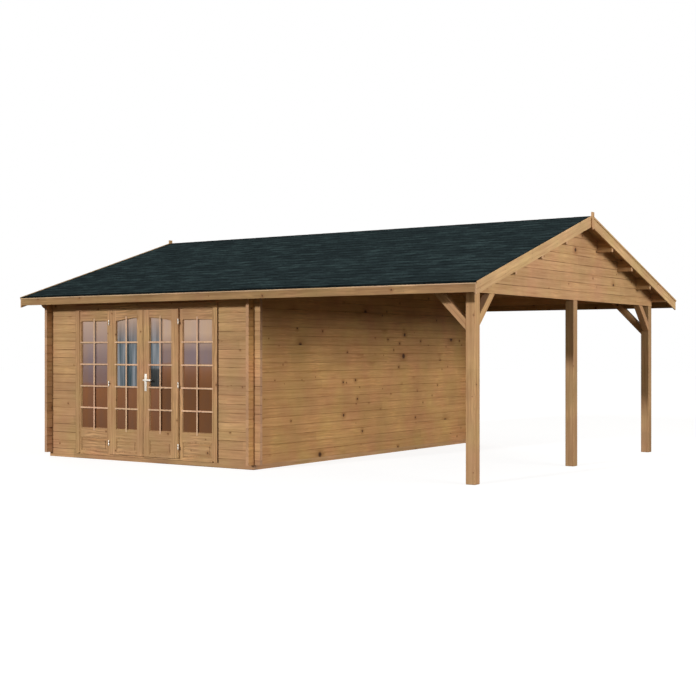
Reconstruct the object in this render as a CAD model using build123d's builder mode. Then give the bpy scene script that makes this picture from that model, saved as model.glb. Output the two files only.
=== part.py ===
from build123d import *
import math
import os

os.makedirs("parts", exist_ok=True)

# Garden house in millimetres: a closed log cabin and an open canopy under one gable roof.
# X runs along the ridge, the door side faces -Y, Z is up and the ground is Z = 0.

# Log work
log_pitch = 114.0
log_thick = 45.0
log_groove = 4.0
corner_over = 100.0
wall_courses = 18
corbel_over = 195.0
plate_height = 109.0

# Plan
cabin_width = 3634.0
canopy_width = 3056.0
house_depth = 5430.0
gable_overhang = 225.0
eave_overhang = 335.0
door_shift = -22.0

# Ground work and floor
foundation_height = 60.0
foundation_thick = 70.0
floor_thick = 20.0
bearer_thick = 70.0
bearer_count = 5

# Roof
roof_slope = 17.66
board_thick = 19.0
shingle_thick = 5.0
shingle_drip = 10.0
cap_width = 120.0
cap_thick = 5.0
fascia_thick = 18.0
fascia_height = 98.0
barge_thick = 20.0
barge_width = 122.0
apex_gap = 1.0
finial_width = 70.0
finial_thick = 16.0
finial_rise = 50.0
finial_drop = 175.0
finial_point = 35.0
purlin_thick = 45.0
purlin_height = 160.0
purlin_first = 660.0
purlin_pitch = 682.0
purlin_count = 3
ridge_purlin_height = 118.0

# Canopy posts and braces
post_size = 116.0
brace_width = 88.0
brace_thick = 90.0
brace_reach = 40.0
eave_brace_leg = 413.0
gable_brace_leg = 365.0

# Door set: places across are half widths from the meeting of the two doors
opening_half = 1225.0
casing_cover = 42.0
casing_proud = 20.0
casing_back = 15.0
jamb_thick = 12.0
stop_cover = 28.0
leaf_outer = 617.0
leaf_gap = 9.0
meeting_half_gap = 4.0
mullion_lap = 42.0
mullion_width = 90.0
side_stile_in = 49.5
side_stile_out = 43.0
meeting_stile = 108.0
hanging_stile = 121.0
leaf_front = 22.0
leaf_back = 18.0
side_front = 4.0
side_glass_set = 16.0
sash_back = 24.0
sill_height = 14.0
sill_stop = 26.0
leaf_clear = 6.0
head_thick = 43.0
head_cover = 31.0
head_stop = 27.0
bottom_rail = 32.0
panel_height = 188.0
middle_rail = 120.0
side_top_rail = 142.0
arch_top_rail = 104.0
arch_radius = 2700.0
panel_depth = 7.0
panel_field = 40.0
rebate = 10.0
glass_thick = 6.0

# Hinges and handle
hinge_low_set = 152.0
hinge_middle_drop = 12.5
hinge_high_set = 167.0
hinge_radius = 7.0
hinge_reach = 9.0
hinge_half = 36.0
hinge_foot_width = 14.0
hinge_foot_shift = 2.0
running_play = 0.05
handle_height = 1084.0
handle_set = 50.0
plate_width = 36.0
plate_below = 144.0
plate_above = 81.0
plate_thick = 8.0
spindle_radius = 5.0
neck_radius = 9.0
neck_length = 40.0
lever_length = 125.0
lever_height = 20.0
lever_thick = 14.0

# Derived places of the walls and the roof
half_pitch = log_pitch / 2
quarter = log_pitch / 4
half_depth = house_depth / 2
roof_length = cabin_width + canopy_width + 2 * gable_overhang
x_end = roof_length / 2
x_inner = x_end - barge_thick
x_left = -x_end + gable_overhang
x_cabin = x_left + cabin_width
x_canopy = x_end - gable_overhang
y_front = -half_depth
y_back = half_depth - log_thick
y_eave = half_depth + eave_overhang
y_board = y_eave - fascia_thick
y_drip = y_eave + shingle_drip
z_wall = foundation_height
z_beam = z_wall + wall_courses * log_pitch
z_plate = z_beam + half_pitch
z_header = z_plate - log_pitch
z_over = z_beam + log_pitch
slope_tan = math.tan(math.radians(roof_slope))
slope_cos = math.cos(math.radians(roof_slope))
board_rise = board_thick / slope_cos
shingle_rise = shingle_thick / slope_cos
barge_rise = barge_width / slope_cos
brace_cut = brace_width * math.sqrt(2)
lows = (Align.MIN, Align.MIN, Align.MIN)
mids = (Align.CENTER, Align.CENTER, Align.MIN)
both_sides = (1, -1)
slopes = {"front": -1, "back": 1}

# Derived places of the door set
x_door = (x_left + x_cabin) / 2 + door_shift
casing_half = opening_half + casing_cover
sash_outer = opening_half - jamb_thick
stop_inner = sash_outer - stop_cover
sash_inner = leaf_outer + leaf_gap
mullion_inner = leaf_outer - mullion_lap
side_pane_in = sash_inner + side_stile_in
side_pane_out = sash_outer - side_stile_out
door_pane_in = meeting_half_gap + meeting_stile
door_pane_out = leaf_outer - hanging_stile
z_sill = z_wall + sill_height
z_stop = z_sill + sill_stop
z_leaf = z_sill + leaf_clear
z_head = z_header - head_thick
panel_bottom = z_leaf + bottom_rail
pane_bottom = panel_bottom + panel_height + middle_rail
side_pane_top = z_head - side_top_rail
arch_centre = z_head - arch_top_rail - arch_radius
frame_back = log_thick + casing_back


def under(y):
    """Height of the underside of the roof boards at a place in Y."""
    return z_plate + plate_height + (half_depth - abs(y)) * slope_tan


def boards_top(y):
    """Height of the top of the roof boards at a place in Y."""
    return under(y) + board_rise


def roof_top(y):
    """Height of the top of the shingles at a place in Y."""
    return boards_top(y) + shingle_rise


def log_outline(near, high, low, first):
    """Cross-section of a stack of logs with a V joint where two logs meet."""
    far = near + log_thick
    marks = [first + i * log_pitch for i in range(2 * wall_courses)]
    marks = [m for m in marks if low + log_groove < m < high - log_groove]
    points = [(near, low)]
    for m in marks:
        points += [(near, m - log_groove), (near + log_groove, m), (near, m + log_groove)]
    points += [(near, high), (far, high)]
    for m in reversed(marks):
        points += [(far, m + log_groove), (far - log_groove, m), (far, m - log_groove)]
    return points + [(far, low)]


def long_notches(y):
    """Places in an eave wall, at one face in Y, that the crossing gable logs fill."""
    return [
        (x, y, z_wall + quarter + i * log_pitch)
        for x in (x_left, x_cabin - log_thick)
        for i in range(wall_courses + 1)
    ]


def gable_notches(x):
    """Places in a gable wall, at one face in X, that the crossing eave logs fill."""
    return [
        (x, y, z_wall + half_pitch + quarter + i * log_pitch)
        for y in (y_front, y_back)
        for i in range(wall_courses)
    ]


def purlin_spans():
    """Nearer and further distance from the ridge line of each purlin, from the eave up."""
    far = [half_depth - purlin_first - i * purlin_pitch for i in range(purlin_count)]
    return [(y, y + purlin_thick) for y in far]


def purlin_bottom(near):
    """Height of the underside of a purlin whose nearer face is at a distance from the ridge line."""
    return under(near) - purlin_height


def purlin_slots():
    """Low Y and bottom height of each purlin's slot in a gable."""
    slots = [(-purlin_thick / 2, under(0) - ridge_purlin_height)]
    for near, far in purlin_spans():
        slots += [(near, purlin_bottom(near)), (-far, purlin_bottom(near))]
    return slots


# Ground work
with BuildPart() as foundation_front_back:
    for y in (y_front, half_depth - foundation_thick):
        with Locations((x_left, y, 0)):
            Box(cabin_width, foundation_thick, foundation_height, align=lows)
foundation_front_back.part.label = "foundation_front_back"
export_step(foundation_front_back.part, "parts/foundation_front_back.step")

floor_width = cabin_width - 2 * foundation_thick
floor_depth = house_depth - 2 * foundation_thick
x_floor = x_left + foundation_thick
y_floor = y_front + foundation_thick
with BuildPart() as foundation_sides:
    for x in (x_left, x_cabin - foundation_thick):
        with Locations((x, y_floor, 0)):
            Box(foundation_thick, floor_depth, foundation_height, align=lows)
foundation_sides.part.label = "foundation_sides"
export_step(foundation_sides.part, "parts/foundation_sides.step")

bearer_height = foundation_height - floor_thick
bearer_step = (floor_width - bearer_thick) / (bearer_count + 1)
with BuildPart() as floor_bearers:
    for i in range(bearer_count):
        with Locations((x_floor + (i + 1) * bearer_step, y_floor, 0)):
            Box(bearer_thick, floor_depth, bearer_height, align=lows)
floor_bearers.part.label = "floor_bearers"
export_step(floor_bearers.part, "parts/floor_bearers.step")

with BuildPart() as floor_boards:
    with Locations((x_floor, y_floor, bearer_height)):
        Box(floor_width, floor_depth, floor_thick, align=lows)
floor_boards.part.label = "floor_boards"
export_step(floor_boards.part, "parts/floor_boards.step")

# Eave walls: two beside the doors and one along the back, notched for the gable logs
eave_walls = {
    "front_wall_left": (x_left - corner_over, x_door - opening_half, y_front, z_header),
    "front_wall_right": (x_door + opening_half, x_cabin + corner_over, y_front, z_header),
    "back_wall": (x_left - corner_over, x_cabin + corner_over, y_back, z_plate),
}
for name, (x_low, x_high, y, z_top) in eave_walls.items():
    with BuildPart() as eave_wall:
        with BuildSketch(Plane.YZ.offset(x_low)):
            with BuildLine():
                Polyline(*log_outline(y, z_top, z_wall, z_wall + half_pitch), close=True)
            make_face()
        extrude(amount=x_high - x_low)
        with Locations(*long_notches(y)):
            Box(log_thick, log_thick, half_pitch, align=lows, mode=Mode.SUBTRACT)
    eave_wall.part.label = name
    export_step(eave_wall.part, f"parts/{name}.step")

# The log over the doors ends in a rounded corbel beside the cabin.
with BuildPart() as front_header:
    with Locations((x_left - corbel_over, y_front, z_header)):
        Box(cabin_width + corbel_over + corner_over, log_thick, log_pitch, align=lows)
    with Locations(*long_notches(y_front)):
        Box(log_thick, log_thick, half_pitch, align=lows, mode=Mode.SUBTRACT)
    with BuildSketch(Plane.XZ.offset(-y_front)):
        corbel_tip = (x_left - corbel_over, z_plate - quarter)
        corbel_foot = (x_left - corner_over, z_header)
        with BuildLine():
            Polyline(corbel_foot, (x_left - corbel_over, z_header), corbel_tip)
            RadiusArc(corbel_tip, corbel_foot, -log_pitch)
        make_face()
    extrude(amount=-log_thick, mode=Mode.SUBTRACT)
front_header.part.label = "front_header"
export_step(front_header.part, "parts/front_header.step")

# Plates: the top logs of both eaves run on under the whole roof.
for end, side in slopes.items():
    with BuildPart() as plate:
        with BuildSketch(Plane.YZ.offset(-x_inner)):
            with BuildLine():
                Polyline(
                    (side * half_depth, z_plate),
                    (side * y_back, z_plate),
                    (side * y_back, under(y_back)),
                    (side * half_depth, under(half_depth)),
                    close=True,
                )
            make_face()
        extrude(amount=2 * x_inner)
        with Locations(*long_notches(min(side * half_depth, side * y_back))):
            Box(log_thick, log_thick, half_pitch, align=lows, mode=Mode.SUBTRACT)
    plate.part.label = f"{end}_plate"
    export_step(plate.part, f"parts/{end}_plate.step")

# Gable walls of the cabin: their logs lie half a course higher and pass the eave walls.
y_tip = half_depth + corner_over
for name, x in {"left_gable_wall": x_left, "cabin_gable_wall": x_cabin - log_thick}.items():
    with BuildPart() as gable_wall:
        with BuildSketch(Plane.XZ.offset(y_tip)):
            with BuildLine():
                Polyline(*log_outline(x, under(0), z_wall, z_wall), close=True)
            make_face()
        extrude(amount=-2 * y_tip)
        with BuildSketch(Plane.YZ.offset(x)):
            with BuildLine():
                Polyline(
                    (-y_tip, z_wall),
                    (y_tip, z_wall),
                    (y_tip, z_over),
                    (y_back, z_over),
                    (y_back, under(y_back)),
                    (0, under(0)),
                    (-y_back, under(y_back)),
                    (-y_back, z_over),
                    (-y_tip, z_over),
                    close=True,
                )
            make_face()
        extrude(amount=log_thick, mode=Mode.INTERSECT)
        with Locations(*gable_notches(x)):
            Box(log_thick, log_thick, half_pitch, align=lows, mode=Mode.SUBTRACT)
        for y in (y_front, y_back):
            with Locations((x, y, z_wall)):
                Box(log_thick, log_thick, quarter, align=lows, mode=Mode.SUBTRACT)
            with Locations((x, y, z_plate + quarter)):
                Box(log_thick, log_thick, log_pitch, align=lows, mode=Mode.SUBTRACT)
        for y, z in purlin_slots():
            with Locations((x, y, z)):
                Box(log_thick, purlin_thick, under(0), align=lows, mode=Mode.SUBTRACT)
    gable_wall.part.label = name
    export_step(gable_wall.part, f"parts/{name}.step")

# Open gable over the canopy posts
x_gable = x_canopy - log_thick
with BuildPart() as canopy_gable:
    with BuildSketch(Plane.XZ.offset(y_back)):
        with BuildLine():
            Polyline(*log_outline(x_gable, under(0), z_beam, z_wall), close=True)
        make_face()
    extrude(amount=-2 * y_back)
    with BuildSketch(Plane.YZ.offset(x_gable)):
        with BuildLine():
            Polyline(
                (-y_back, z_beam),
                (y_back, z_beam),
                (y_back, under(y_back)),
                (0, under(0)),
                (-y_back, under(y_back)),
                close=True,
            )
        make_face()
    extrude(amount=log_thick, mode=Mode.INTERSECT)
    for y, z in purlin_slots():
        with Locations((x_gable, y, z)):
            Box(log_thick, purlin_thick, under(0), align=lows, mode=Mode.SUBTRACT)
canopy_gable.part.label = "canopy_gable"
export_step(canopy_gable.part, "parts/canopy_gable.step")

# Canopy posts
x_post = x_canopy - post_size
with BuildPart() as posts:
    for y in (-y_back, -post_size / 2, y_back - post_size):
        with Locations((x_post, y, 0)):
            Box(post_size, post_size, z_beam, align=lows)
posts.part.label = "posts"
export_step(posts.part, "parts/posts.step")

# Braces: one pair rises behind the plates, one pair ends under the gable beam
z_brace = z_plate + brace_reach
z_foot = z_beam - eave_brace_leg
x_brace = x_post - z_brace + z_foot
with BuildPart() as eave_braces:
    for y in (-y_back, y_back - brace_thick):
        with BuildSketch(Plane.XZ.offset(-y)):
            with BuildLine():
                Polyline(
                    (x_post, z_foot),
                    (x_post, z_foot + brace_cut),
                    (x_brace + brace_cut, z_brace),
                    (x_brace, z_brace),
                    close=True,
                )
            make_face()
        extrude(amount=-brace_thick)
eave_braces.part.label = "eave_braces"
export_step(eave_braces.part, "parts/eave_braces.step")

y_inside = y_back - post_size
y_brace = y_inside - gable_brace_leg
with BuildPart() as gable_braces:
    for side in both_sides:
        with BuildSketch(Plane.YZ.offset(x_canopy - brace_thick)):
            with BuildLine():
                Polyline(
                    (side * y_inside, z_beam - gable_brace_leg),
                    (side * y_inside, z_beam - gable_brace_leg + brace_cut),
                    (side * (y_brace + brace_cut), z_beam),
                    (side * y_brace, z_beam),
                    close=True,
                )
            make_face()
        extrude(amount=brace_thick)
gable_braces.part.label = "gable_braces"
export_step(gable_braces.part, "parts/gable_braces.step")

# Purlins
ridge_half = purlin_thick / 2
with BuildPart() as ridge_purlin:
    with BuildSketch(Plane.YZ.offset(-x_inner)):
        with BuildLine():
            Polyline(
                (-ridge_half, under(0) - ridge_purlin_height),
                (ridge_half, under(0) - ridge_purlin_height),
                (ridge_half, under(ridge_half)),
                (0, under(0)),
                (-ridge_half, under(ridge_half)),
                close=True,
            )
        make_face()
    extrude(amount=2 * x_inner)
ridge_purlin.part.label = "ridge_purlin"
export_step(ridge_purlin.part, "parts/ridge_purlin.step")

for end, side in slopes.items():
    with BuildPart() as purlins:
        with BuildSketch(Plane.YZ.offset(-x_inner)):
            for near, far in purlin_spans():
                with BuildLine():
                    Polyline(
                        (side * near, purlin_bottom(near)),
                        (side * far, purlin_bottom(near)),
                        (side * far, under(far)),
                        (side * near, under(near)),
                        close=True,
                    )
                make_face()
        extrude(amount=2 * x_inner)
    purlins.part.label = f"{end}_purlins"
    export_step(purlins.part, f"parts/{end}_purlins.step")

# Roof boards, with the fascia on their lower ends, and the shingles that lap the fascia and bargeboards
for end, side in slopes.items():
    with BuildPart() as roof_boards:
        with BuildSketch(Plane.YZ.offset(-x_inner)):
            with BuildLine():
                Polyline(
                    (side * y_board, under(y_board)),
                    (0, under(0)),
                    (0, boards_top(0)),
                    (side * y_board, boards_top(y_board)),
                    close=True,
                )
            make_face()
        extrude(amount=2 * x_inner)
    roof_boards.part.label = f"roof_boards_{end}"
    export_step(roof_boards.part, f"parts/roof_boards_{end}.step")

    fascia_bottom = boards_top(y_eave) - fascia_height
    with BuildPart() as fascia:
        with BuildSketch(Plane.YZ.offset(-x_inner)):
            with BuildLine():
                Polyline(
                    (side * y_eave, fascia_bottom),
                    (side * y_board, fascia_bottom),
                    (side * y_board, boards_top(y_board)),
                    (side * y_eave, boards_top(y_eave)),
                    close=True,
                )
            make_face()
        extrude(amount=2 * x_inner)
    fascia.part.label = f"fascia_{end}"
    export_step(fascia.part, f"parts/fascia_{end}.step")

    with BuildPart() as shingles:
        with BuildSketch(Plane.YZ.offset(-x_end)):
            with BuildLine():
                Polyline(
                    (side * y_drip, boards_top(y_drip)),
                    (0, boards_top(0)),
                    (0, roof_top(0)),
                    (side * y_drip, roof_top(y_drip)),
                    close=True,
                )
            make_face()
        extrude(amount=2 * x_end)
    shingles.part.label = f"shingles_{end}"
    export_step(shingles.part, f"parts/shingles_{end}.step")

with BuildPart() as ridge_cap:
    with BuildSketch(Plane.YZ.offset(-x_end)):
        with BuildLine():
            Polyline(
                (-cap_width, roof_top(cap_width)),
                (0, roof_top(0)),
                (cap_width, roof_top(cap_width)),
                (cap_width, roof_top(cap_width) + cap_thick),
                (0, roof_top(0) + cap_thick),
                (-cap_width, roof_top(cap_width) + cap_thick),
                close=True,
            )
        make_face()
    extrude(amount=2 * x_end)
ridge_cap.part.label = "ridge_cap"
export_step(ridge_cap.part, "parts/ridge_cap.step")

# Bargeboards, a mitred pair at each gable
apex_half = apex_gap / 2
for end, x in {"left": -x_end, "right": x_inner}.items():
    with BuildPart() as bargeboards:
        for side in both_sides:
            with BuildSketch(Plane.YZ.offset(x)):
                with BuildLine():
                    Polyline(
                        (side * y_eave, boards_top(y_eave)),
                        (side * apex_half, boards_top(apex_half)),
                        (side * apex_half, boards_top(apex_half) - barge_rise),
                        (side * y_eave, boards_top(y_eave) - barge_rise),
                        close=True,
                    )
                make_face()
            extrude(amount=barge_thick)
    bargeboards.part.label = f"bargeboards_{end}"
    export_step(bargeboards.part, f"parts/bargeboards_{end}.step")

# Finials: a pointed board over each mitre
finial_half = finial_width / 2
finial_foot = roof_top(0) - finial_drop
with BuildPart() as finials:
    for x in (-x_end - finial_thick, x_end):
        with BuildSketch(Plane.YZ.offset(x)):
            with BuildLine():
                Polyline(
                    (-finial_half, roof_top(0) + finial_rise),
                    (finial_half, roof_top(0) + finial_rise),
                    (finial_half, finial_foot + finial_point),
                    (0, finial_foot),
                    (-finial_half, finial_foot + finial_point),
                    close=True,
                )
            make_face()
        extrude(amount=finial_thick)
finials.part.label = "finials"
export_step(finials.part, "parts/finials.step")

# Door frame: jambs that clip over the cut log ends, a head, a sill and two mullions
with BuildPart() as frame_jambs:
    for side in both_sides:
        with BuildSketch(Plane.XY.offset(z_wall)):
            with BuildLine():
                Polyline(
                    (x_door + side * sash_outer, y_front - casing_proud),
                    (x_door + side * casing_half, y_front - casing_proud),
                    (x_door + side * casing_half, y_front),
                    (x_door + side * opening_half, y_front),
                    (x_door + side * opening_half, y_front + log_thick),
                    (x_door + side * casing_half, y_front + log_thick),
                    (x_door + side * casing_half, y_front + frame_back),
                    (x_door + side * stop_inner, y_front + frame_back),
                    (x_door + side * stop_inner, y_front + sash_back),
                    (x_door + side * sash_outer, y_front + sash_back),
                    close=True,
                )
            make_face()
        extrude(amount=z_head - z_wall)
frame_jambs.part.label = "frame_jambs"
export_step(frame_jambs.part, "parts/frame_jambs.step")

cover = head_thick + head_cover
with BuildPart() as frame_head:
    with Locations((x_door - opening_half, y_front, z_head)):
        Box(2 * opening_half, log_thick, head_thick, align=lows)
    with Locations((x_door - casing_half, y_front - casing_proud, z_head)):
        Box(2 * casing_half, casing_proud, cover, align=lows)
    with Locations((x_door - casing_half, y_front + log_thick, z_head)):
        Box(2 * casing_half, casing_back, cover, align=lows)
    with Locations((x_door - stop_inner, y_front + sash_back, z_head - head_stop)):
        Box(2 * stop_inner, frame_back - sash_back, head_stop, align=lows)
frame_head.part.label = "frame_head"
export_step(frame_head.part, "parts/frame_head.step")

with BuildPart() as frame_sill:
    with Locations((x_door - stop_inner, y_front - casing_proud, z_wall)):
        Box(2 * stop_inner, frame_back + casing_proud, sill_height, align=lows)
    with Locations((x_door - stop_inner, y_front + sash_back, z_sill)):
        Box(2 * stop_inner, frame_back - sash_back, sill_stop, align=lows)
frame_sill.part.label = "frame_sill"
export_step(frame_sill.part, "parts/frame_sill.step")

with BuildPart() as frame_mullions:
    for x in (x_door - mullion_inner - mullion_width, x_door + mullion_inner):
        with Locations((x, y_front + sash_back, z_stop)):
            Box(mullion_width, frame_back - sash_back, z_head - head_stop - z_stop, align=lows)
frame_mullions.part.label = "frame_mullions"
export_step(frame_mullions.part, "parts/frame_mullions.step")

# Fixed side lights, set back from the doors, with a sunk panel below the glass
side_width = side_pane_out - side_pane_in
side_height = side_pane_top - pane_bottom
seat_width = side_width + 2 * rebate
seat_height = side_height + 2 * rebate
side_middle = (side_pane_in + side_pane_out) / 2
side_seat = sash_back - side_glass_set
y_side_panel = y_front - side_front + panel_depth / 2
field_height = panel_height - 2 * panel_field
with BuildPart() as side_lights:
    for side in both_sides:
        x_mid = x_door + side * (sash_inner + sash_outer) / 2
        x_pane = x_door + side * side_middle
        with Locations((x_mid, y_front + (sash_back - side_front) / 2, z_sill)):
            Box(sash_outer - sash_inner, side_front + sash_back, z_head - z_sill, align=mids)
        with Locations((x_pane, y_front, pane_bottom)):
            Box(side_width, 2 * log_thick, side_height, align=mids, mode=Mode.SUBTRACT)
        with Locations((x_pane, y_front + sash_back - side_seat / 2, pane_bottom - rebate)):
            Box(seat_width, side_seat, seat_height, align=mids, mode=Mode.SUBTRACT)
        with Locations((x_pane, y_side_panel, panel_bottom)):
            Box(side_width, panel_depth, panel_height, align=mids, mode=Mode.SUBTRACT)
        with Locations((x_pane, y_side_panel, panel_bottom + panel_field)):
            Box(side_width - 2 * panel_field, panel_depth, field_height, align=mids)
side_lights.part.label = "side_lights"
export_step(side_lights.part, "parts/side_lights.step")

with BuildPart() as side_glass:
    for side in both_sides:
        y = y_front + side_glass_set + glass_thick / 2
        with Locations((x_door + side * side_middle, y, pane_bottom - rebate)):
            Box(seat_width, glass_thick, seat_height, align=mids)
side_glass.part.label = "side_glass"
export_step(side_glass.part, "parts/side_glass.step")

# Double doors: the heads of both panes lie on one arch over the meeting of the doors
leaf_height = z_head - leaf_clear - z_leaf
leaf_width = leaf_outer - meeting_half_gap
leaf_depth = leaf_front + leaf_back
leaf_middle = (leaf_outer + meeting_half_gap) / 2
pane_middle = (door_pane_in + door_pane_out) / 2
pane_width = door_pane_out - door_pane_in
x_handle = x_door + handle_set
y_panel = y_front - leaf_front + panel_depth / 2


def arch(u):
    """Height of the arch at a distance from the meeting of the doors."""
    return arch_centre + math.sqrt(arch_radius**2 - u**2)


def pane_points(side, grow):
    """Two lower corners, then the three points of the arch, of a door's pane grown by a margin."""
    low, high = door_pane_in - grow, door_pane_out + grow
    places = [(low, pane_bottom - grow), (high, pane_bottom - grow), (high, arch(high) + grow)]
    places += [(pane_middle, arch(pane_middle) + grow), (low, arch(low) + grow)]
    return [(x_door + side * u, z) for u, z in places]


for end, side in {"left": -1, "right": 1}.items():
    low_in, low_out, arch_out, arch_top, arch_in = pane_points(side, 0)
    seat_in, seat_out, seat_arch_out, seat_arch_top, seat_arch_in = pane_points(side, rebate)
    x_pane = x_door + side * pane_middle
    with BuildPart() as door:
        with Locations((x_door + side * leaf_middle, y_front + (leaf_back - leaf_front) / 2, z_leaf)):
            Box(leaf_width, leaf_depth, leaf_height, align=mids)
        with BuildSketch(Plane.XZ.offset(-y_front + leaf_front)):
            with BuildLine():
                Polyline(arch_in, low_in, low_out, arch_out)
                ThreePointArc(arch_out, arch_top, arch_in)
            make_face()
        extrude(amount=-leaf_depth, mode=Mode.SUBTRACT)
        with BuildSketch(Plane.XZ.offset(-y_front)):
            with BuildLine():
                Polyline(seat_arch_in, seat_in, seat_out, seat_arch_out)
                ThreePointArc(seat_arch_out, seat_arch_top, seat_arch_in)
            make_face()
        extrude(amount=-leaf_back, mode=Mode.SUBTRACT)
        with Locations((x_pane, y_panel, panel_bottom)):
            Box(pane_width, panel_depth, panel_height, align=mids, mode=Mode.SUBTRACT)
        with Locations((x_pane, y_panel, panel_bottom + panel_field)):
            Box(pane_width - 2 * panel_field, panel_depth, field_height, align=mids)
        if end == "right":
            with BuildSketch(Plane.XZ.offset(-y_front + leaf_front)):
                with Locations((x_handle, handle_height)):
                    Circle(spindle_radius + running_play)
            extrude(amount=-leaf_depth, mode=Mode.SUBTRACT)
    door.part.label = f"door_{end}"
    export_step(door.part, f"parts/door_{end}.step")

    with BuildPart() as door_glass:
        with BuildSketch(Plane.XZ.offset(-y_front)):
            with BuildLine():
                Polyline(seat_arch_in, seat_in, seat_out, seat_arch_out)
                ThreePointArc(seat_arch_out, seat_arch_top, seat_arch_in)
            make_face()
        extrude(amount=-glass_thick)
    door_glass.part.label = f"door_{end}_glass"
    export_step(door_glass.part, f"parts/door_{end}_glass.step")

# Hinges: the lower half of each barrel is on the frame, the upper half on the door.
hinge_line = (leaf_outer + sash_inner) / 2
hinge_low = z_leaf + hinge_low_set
hinge_high = z_head - hinge_high_set
hinge_heights = (hinge_low, (hinge_low + hinge_high) / 2 - hinge_middle_drop, hinge_high)
y_hinge = y_front - leaf_front - hinge_reach
half_tall = hinge_half - running_play / 2
frame_reach = leaf_front + hinge_reach - side_front
with BuildPart() as hinge_frame_halves:
    for side in both_sides:
        for z in hinge_heights:
            with Locations((x_door + side * hinge_line, y_hinge, z - hinge_half)):
                Cylinder(hinge_radius, half_tall, align=mids)
            x_foot = x_door + side * (hinge_line + hinge_foot_shift + hinge_foot_width / 2)
            with Locations((x_foot, y_hinge + frame_reach / 2, z - hinge_half)):
                Box(hinge_foot_width, frame_reach, half_tall, align=mids)
hinge_frame_halves.part.label = "hinge_frame_halves"
export_step(hinge_frame_halves.part, "parts/hinge_frame_halves.step")

for end, side in {"left": -1, "right": 1}.items():
    with BuildPart() as hinge_door_halves:
        for z in hinge_heights:
            with Locations((x_door + side * hinge_line, y_hinge, z + running_play / 2)):
                Cylinder(hinge_radius, half_tall, align=mids)
            x_foot = x_door + side * (hinge_line - hinge_foot_width / 2)
            with Locations((x_foot, y_hinge + hinge_reach / 2, z + running_play / 2)):
                Box(hinge_foot_width, hinge_reach, half_tall, align=mids)
    hinge_door_halves.part.label = f"hinge_{end}_halves"
    export_step(hinge_door_halves.part, f"parts/hinge_{end}_halves.step")

# Handle: a long plate on each face of the right door and one pair of levers on a spindle
with BuildPart() as handle_plates:
    for y in (y_front - leaf_front - plate_thick, y_front + leaf_back):
        with Locations((x_handle, y + plate_thick / 2, handle_height - plate_below)):
            Box(plate_width, plate_thick, plate_below + plate_above, align=mids)
    with BuildSketch(Plane.XZ.offset(-y_front + leaf_front + plate_thick)):
        with Locations((x_handle, handle_height)):
            Circle(spindle_radius + running_play)
    extrude(amount=-leaf_depth - 2 * plate_thick, mode=Mode.SUBTRACT)
handle_plates.part.label = "handle_plates"
export_step(handle_plates.part, "parts/handle_plates.step")

out_front = leaf_front + plate_thick + running_play
out_back = leaf_back + plate_thick + running_play
with BuildPart() as handle_lever:
    with BuildSketch(Plane.XZ.offset(-y_front + out_front + neck_length / 2)):
        with Locations((x_handle, handle_height)):
            Circle(spindle_radius)
    extrude(amount=-out_front - out_back - neck_length)
    for y in (out_front + neck_length, -out_back):
        with BuildSketch(Plane.XZ.offset(-y_front + y)):
            with Locations((x_handle, handle_height)):
                Circle(neck_radius)
        extrude(amount=-neck_length)
    for y in (y_front - out_front - neck_length, y_front + out_back + neck_length - lever_thick):
        with Locations((x_handle - lever_height / 2, y, handle_height - lever_height / 2)):
            Box(lever_length + lever_height / 2, lever_thick, lever_height, align=lows)
handle_lever.part.label = "handle_lever"
export_step(handle_lever.part, "parts/handle_lever.step")
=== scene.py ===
"""Looks of the garden house: a log cabin and an open canopy under one shingled gable roof.

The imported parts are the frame. This script dresses them as brown dipped spruce, bitumen
shingles, glass and pale metal, and adds the single boards, shingle tabs, glazing bars,
beads, mouldings, screws and rounded edges that the frame leaves plain. Lengths are in
metres unless the end of a name says otherwise, such as _mm.
"""

import logging
import math
import random
from dataclasses import dataclass
from enum import Enum
from functools import cached_property
from typing import Any, Iterable, Sequence

import bmesh
import bpy
from mathutils import Matrix, Vector


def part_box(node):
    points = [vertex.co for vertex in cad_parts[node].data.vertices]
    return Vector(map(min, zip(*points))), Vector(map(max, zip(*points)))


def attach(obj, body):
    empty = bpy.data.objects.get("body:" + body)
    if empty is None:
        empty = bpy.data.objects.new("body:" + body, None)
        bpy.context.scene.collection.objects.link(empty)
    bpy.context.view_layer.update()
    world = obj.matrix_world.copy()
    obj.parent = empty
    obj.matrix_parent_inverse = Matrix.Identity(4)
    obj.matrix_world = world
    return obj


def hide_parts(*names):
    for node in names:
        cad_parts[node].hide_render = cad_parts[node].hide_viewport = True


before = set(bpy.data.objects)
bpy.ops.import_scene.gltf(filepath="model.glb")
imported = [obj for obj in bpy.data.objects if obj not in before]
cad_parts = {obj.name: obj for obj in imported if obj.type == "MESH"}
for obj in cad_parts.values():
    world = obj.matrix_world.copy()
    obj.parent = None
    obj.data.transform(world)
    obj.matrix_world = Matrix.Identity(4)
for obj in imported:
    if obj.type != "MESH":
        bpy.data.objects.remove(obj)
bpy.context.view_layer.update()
LOG = logging.getLogger("garden_house")

MM = 0.001
LOT = "lot"
# Corners nearer than WELD and faces flatter than FLAT_DEG are merged, edges over SHARP_DEG are rounded.
WELD = 0.01 * MM
FLAT_DEG = 1.0
SHARP_DEG = 30.0
HEAD_SIDES = 16
# Bands that a wave texture draws in a metre at a scale of one.
WAVE_BANDS = 20.0 / math.tau

Point = Sequence[float]
Material = bpy.types.Material
Tree = bpy.types.NodeTree
Mesh = bmesh.types.BMesh


class Body(str, Enum):
    """Rigid bodies that pieces ride on."""

    HOUSE = "house"
    DOOR_LEFT = "door_left"
    DOOR_RIGHT = "door_right"
    HANDLE = "door_handle"


class Slot(str, Enum):
    """Material slots of the record."""

    TIMBER = "timber"
    TRIM = "trim"
    SHINGLE = "shingle"
    HARDWARE = "hardware"


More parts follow.
